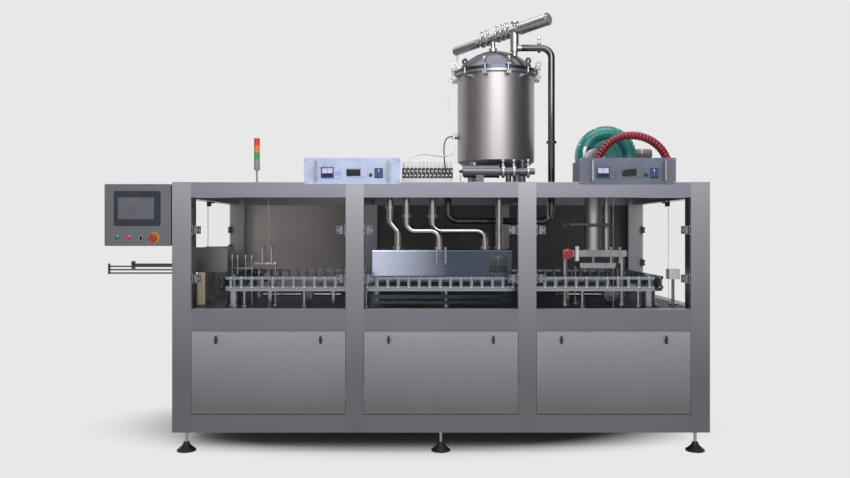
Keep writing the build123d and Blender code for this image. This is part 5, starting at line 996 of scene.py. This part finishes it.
def lay_ribbed_hose(name, node, route, diameter):
    """The blower hose: a tube whose wall swells over each turn of the wire inside it."""
    points = spline_points(route)
    total = sum((last - first).length for first, last in zip(points, points[1:]))
    ribs = round(total / HOSE_PITCH)
    rings = ribs * RINGS_PER_RIB + 1
    verts, faces, ridges = [], [], []
    side = Vector((0, 1, 0))
    for ring in range(rings):
        middle, heading = along(points, total * ring / (rings - 1))
        side = (side - heading * side.dot(heading)).normalized()
        across = heading.cross(side)
        phase = 2 * pi * ring / RINGS_PER_RIB
        radius = diameter / 2 - HOSE_GROOVE * (0.5 + 0.5 * cos(phase))
        for step in range(HOSE_SIDES):
            angle = 2 * pi * step / HOSE_SIDES
            verts.append(middle + (side * cos(angle) + across * sin(angle)) * radius)
    for ring in range(rings - 1):
        ridge = 1 <= ring % RINGS_PER_RIB <= RINGS_PER_RIB - 2
        for step in range(HOSE_SIDES):
            after = (step + 1) % HOSE_SIDES
            low, high = ring * HOSE_SIDES, (ring + 1) * HOSE_SIDES
            faces.append((low + step, low + after, high + after, high + step))
            ridges.append(1 if ridge else 0)
    faces.append(tuple(reversed(range(HOSE_SIDES))))
    faces.append(tuple(range((rings - 1) * HOSE_SIDES, rings * HOSE_SIDES)))
    mesh = bpy.data.meshes.new(name)
    mesh.from_pydata(verts, [], faces)
    mesh.materials.append(FINISHES["hose"])
    mesh.materials.append(FINISHES["hose_rib"])
    for face, ridge in zip(mesh.polygons, ridges):
        face.material_index = ridge
    mesh.shade_smooth()
    obj = bpy.data.objects.new(name, mesh)
    bpy.context.collection.objects.link(obj)
    declare_cord(obj, node)


class FILLING_OT_cords(bpy.types.Operator):
    """Lay the blower hose, the air tube and the sensor cable"""
    bl_idname = "filling.cords"
    bl_label = "Hose, tube and cable"

    def execute(self, context):
        sizes = context.scene.filling_sizes
        lay_ribbed_hose("ribbed_blower_hose", "blower_hose", HOSE_ROUTE, sizes.hose_diameter)
        lay_cord("white_air_tube", "actuator_air_tube", AIR_ROUTE, sizes.tube_diameter,
                 "white")
        lay_cord("black_sensor_cable", "sensor_cable", CABLE_ROUTE, sizes.cable_diameter,
                 "cable")
        return {"FINISHED"}


class FILLING_OT_stage(bpy.types.Operator):
    """Set the floor, the backdrop, the lamps and the camera"""
    bl_idname = "filling.stage"
    bl_label = "Stage"

    def execute(self, context):
        scene = context.scene
        colours = scene.filling_colours
        scene.view_settings.view_transform = "Standard"
        world = bpy.data.worlds.new("pale_studio")
        scene.world = world
        world.use_nodes = True
        tree = world.node_tree
        tree.nodes.clear()
        path = add_node(tree, "ShaderNodeLightPath")
        shown = path.outputs["Is Camera Ray"]
        for ray in ("Is Transmission Ray", "Is Glossy Ray"):
            either = add_node(tree, "ShaderNodeMath", {"operation": "MAXIMUM"},
                              {0: shown, 1: path.outputs[ray]})
            shown = either.outputs[0]
        light = add_node(tree, "ShaderNodeBackground", {"Color": (1, 1, 1, 1), "Strength": 0.5})
        back = add_node(tree, "ShaderNodeBackground", {"Color": linear(colours.backdrop), "Strength": 1.0})
        mixed = add_node(tree, "ShaderNodeMixShader",
                         links={0: shown, 1: light.outputs[0], 2: back.outputs[0]})
        add_node(tree, "ShaderNodeOutputWorld", links={"Surface": mixed.outputs[0]})
        self.floor(colours.floor)
        self.lamps(scene)
        camera = bpy.data.cameras.new("photo_camera")
        camera.lens = 35
        camera.sensor_width = 36
        camera.shift_x, camera.shift_y = 0.0047, -0.0106
        holder = bpy.data.objects.new("photo_camera", camera)
        scene.collection.objects.link(holder)
        holder.location = (0.115, -4.782, 1.115)
        holder.rotation_euler = (radians(90), 0, 0)
        scene.camera = holder
        return {"FINISHED"}

    def floor(self, colour):
        """A wide pale floor that fades into the backdrop away from the machine, and keeps its shadow."""
        deselect()
        bpy.ops.mesh.primitive_plane_add(size=60, location=(0, 0, 0))
        floor = bpy.context.object
        floor.name = "studio_floor"
        material, tree, shader = new_material("pale_painted_floor", Base_Color=linear(colour), Roughness=0.8)
        shader.inputs["Specular IOR Level"].default_value = 0.0
        place = add_node(tree, "ShaderNodeTexCoord")
        stretch = add_node(tree, "ShaderNodeMapping", {"Scale": (0.42, 0.95, 1.0)},
                           {"Vector": place.outputs["Object"]})
        reach = add_node(tree, "ShaderNodeVectorMath", {"operation": "LENGTH"},
                         {0: stretch.outputs["Vector"]})
        fade = add_node(tree, "ShaderNodeMapRange",
                        {"From Min": 0.50, "From Max": 0.80, "interpolation_type": "SMOOTHSTEP"},
                        {"Value": reach.outputs["Value"]})
        plain = add_node(tree, "ShaderNodeEmission", {"Color": linear(colour), "Strength": 1.0})
        mixed = add_node(tree, "ShaderNodeMixShader",
                         links={0: fade.outputs["Result"], 1: shader.outputs[0], 2: plain.outputs[0]})
        tree.links.new(mixed.outputs[0], tree.nodes["Material Output"].inputs["Surface"])
        floor.data.materials.append(material)

    def lamps(self, scene):
        """Soft boxes from the front and above, and dark cards at both sides that only polished metal sees."""
        for name, place, aim, size, power in (
                ("front_softbox", (0.5, -5.6, 3.6), (0.2, 0, 0.9), (4.5, 2.2), 150),
                ("top_softbox", (0.3, -0.4, 4.6), (0.2, 0, 0.9), (4.5, 3.0), 100)):
            lamp = bpy.data.lights.new(name, "AREA")
            lamp.shape = "RECTANGLE"
            lamp.size, lamp.size_y = size
            lamp.energy = power
            holder = bpy.data.objects.new(name, lamp)
            scene.collection.objects.link(holder)
            holder.location = place
            holder.rotation_euler = (Vector(aim) - Vector(place)).to_track_quat("-Z", "Y").to_euler()
        for name, x, tone in (("left_dark_card", -4.4, "#7C787E"), ("right_dark_card", 4.4, "#474D55")):
            deselect()
            bpy.ops.mesh.primitive_plane_add(size=1, location=(x, -1.6, 2.2),
                                             rotation=(radians(90), 0, radians(90)))
            card = bpy.context.object
            card.scale = (5.8, 4.4, 1)
            card.name = name
            material, tree, shader = new_material(name, Base_Color=linear(tone), Roughness=0.9)
            card.data.materials.append(material)
            for ray in ("camera", "diffuse", "shadow", "transmission", "volume_scatter"):
                setattr(card, "visible_" + ray, False)


class FILLING_PT_panel(bpy.types.Panel):
    """The filling machine's finishes and pieces"""
    bl_label = "Filling Machine"
    bl_idname = "FILLING_PT_panel"
    bl_space_type = "VIEW_3D"
    bl_region_type = "UI"
    bl_category = "Filling Machine"

    def draw(self, context):
        for name in FillingMachineSizes.__annotations__:
            self.layout.prop(context.scene.filling_sizes, name)
        for name in FillingMachineColours.__annotations__:
            self.layout.prop(context.scene.filling_colours, name)
        for operator in OPERATORS:
            self.layout.operator(operator.bl_idname)


OPERATORS = (
    FILLING_OT_finishes, FILLING_OT_cords, FILLING_OT_controls, FILLING_OT_roof_units, FILLING_OT_hinge_caps,
    FILLING_OT_chain_bolts, FILLING_OT_generator_fronts, FILLING_OT_manifold_fittings, FILLING_OT_blower_trim,
    FILLING_OT_bay_fittings, FILLING_OT_clamp_bolts, FILLING_OT_skin_screws, FILLING_OT_stage,
)
CLASSES = (FillingMachineSizes, FillingMachineColours, *OPERATORS, FILLING_PT_panel)


def register():
    for item in CLASSES:
        bpy.utils.register_class(item)
    bpy.types.Scene.filling_sizes = bpy.props.PointerProperty(type=FillingMachineSizes)
    bpy.types.Scene.filling_colours = bpy.props.PointerProperty(type=FillingMachineColours)


def unregister():
    del bpy.types.Scene.filling_colours
    del bpy.types.Scene.filling_sizes
    for item in reversed(CLASSES):
        bpy.utils.unregister_class(item)


def main():
    register()
    for operator in OPERATORS:
        group, name = operator.bl_idname.split(".")
        getattr(getattr(bpy.ops, group), name)()


if __name__ == "__main__":
    main()
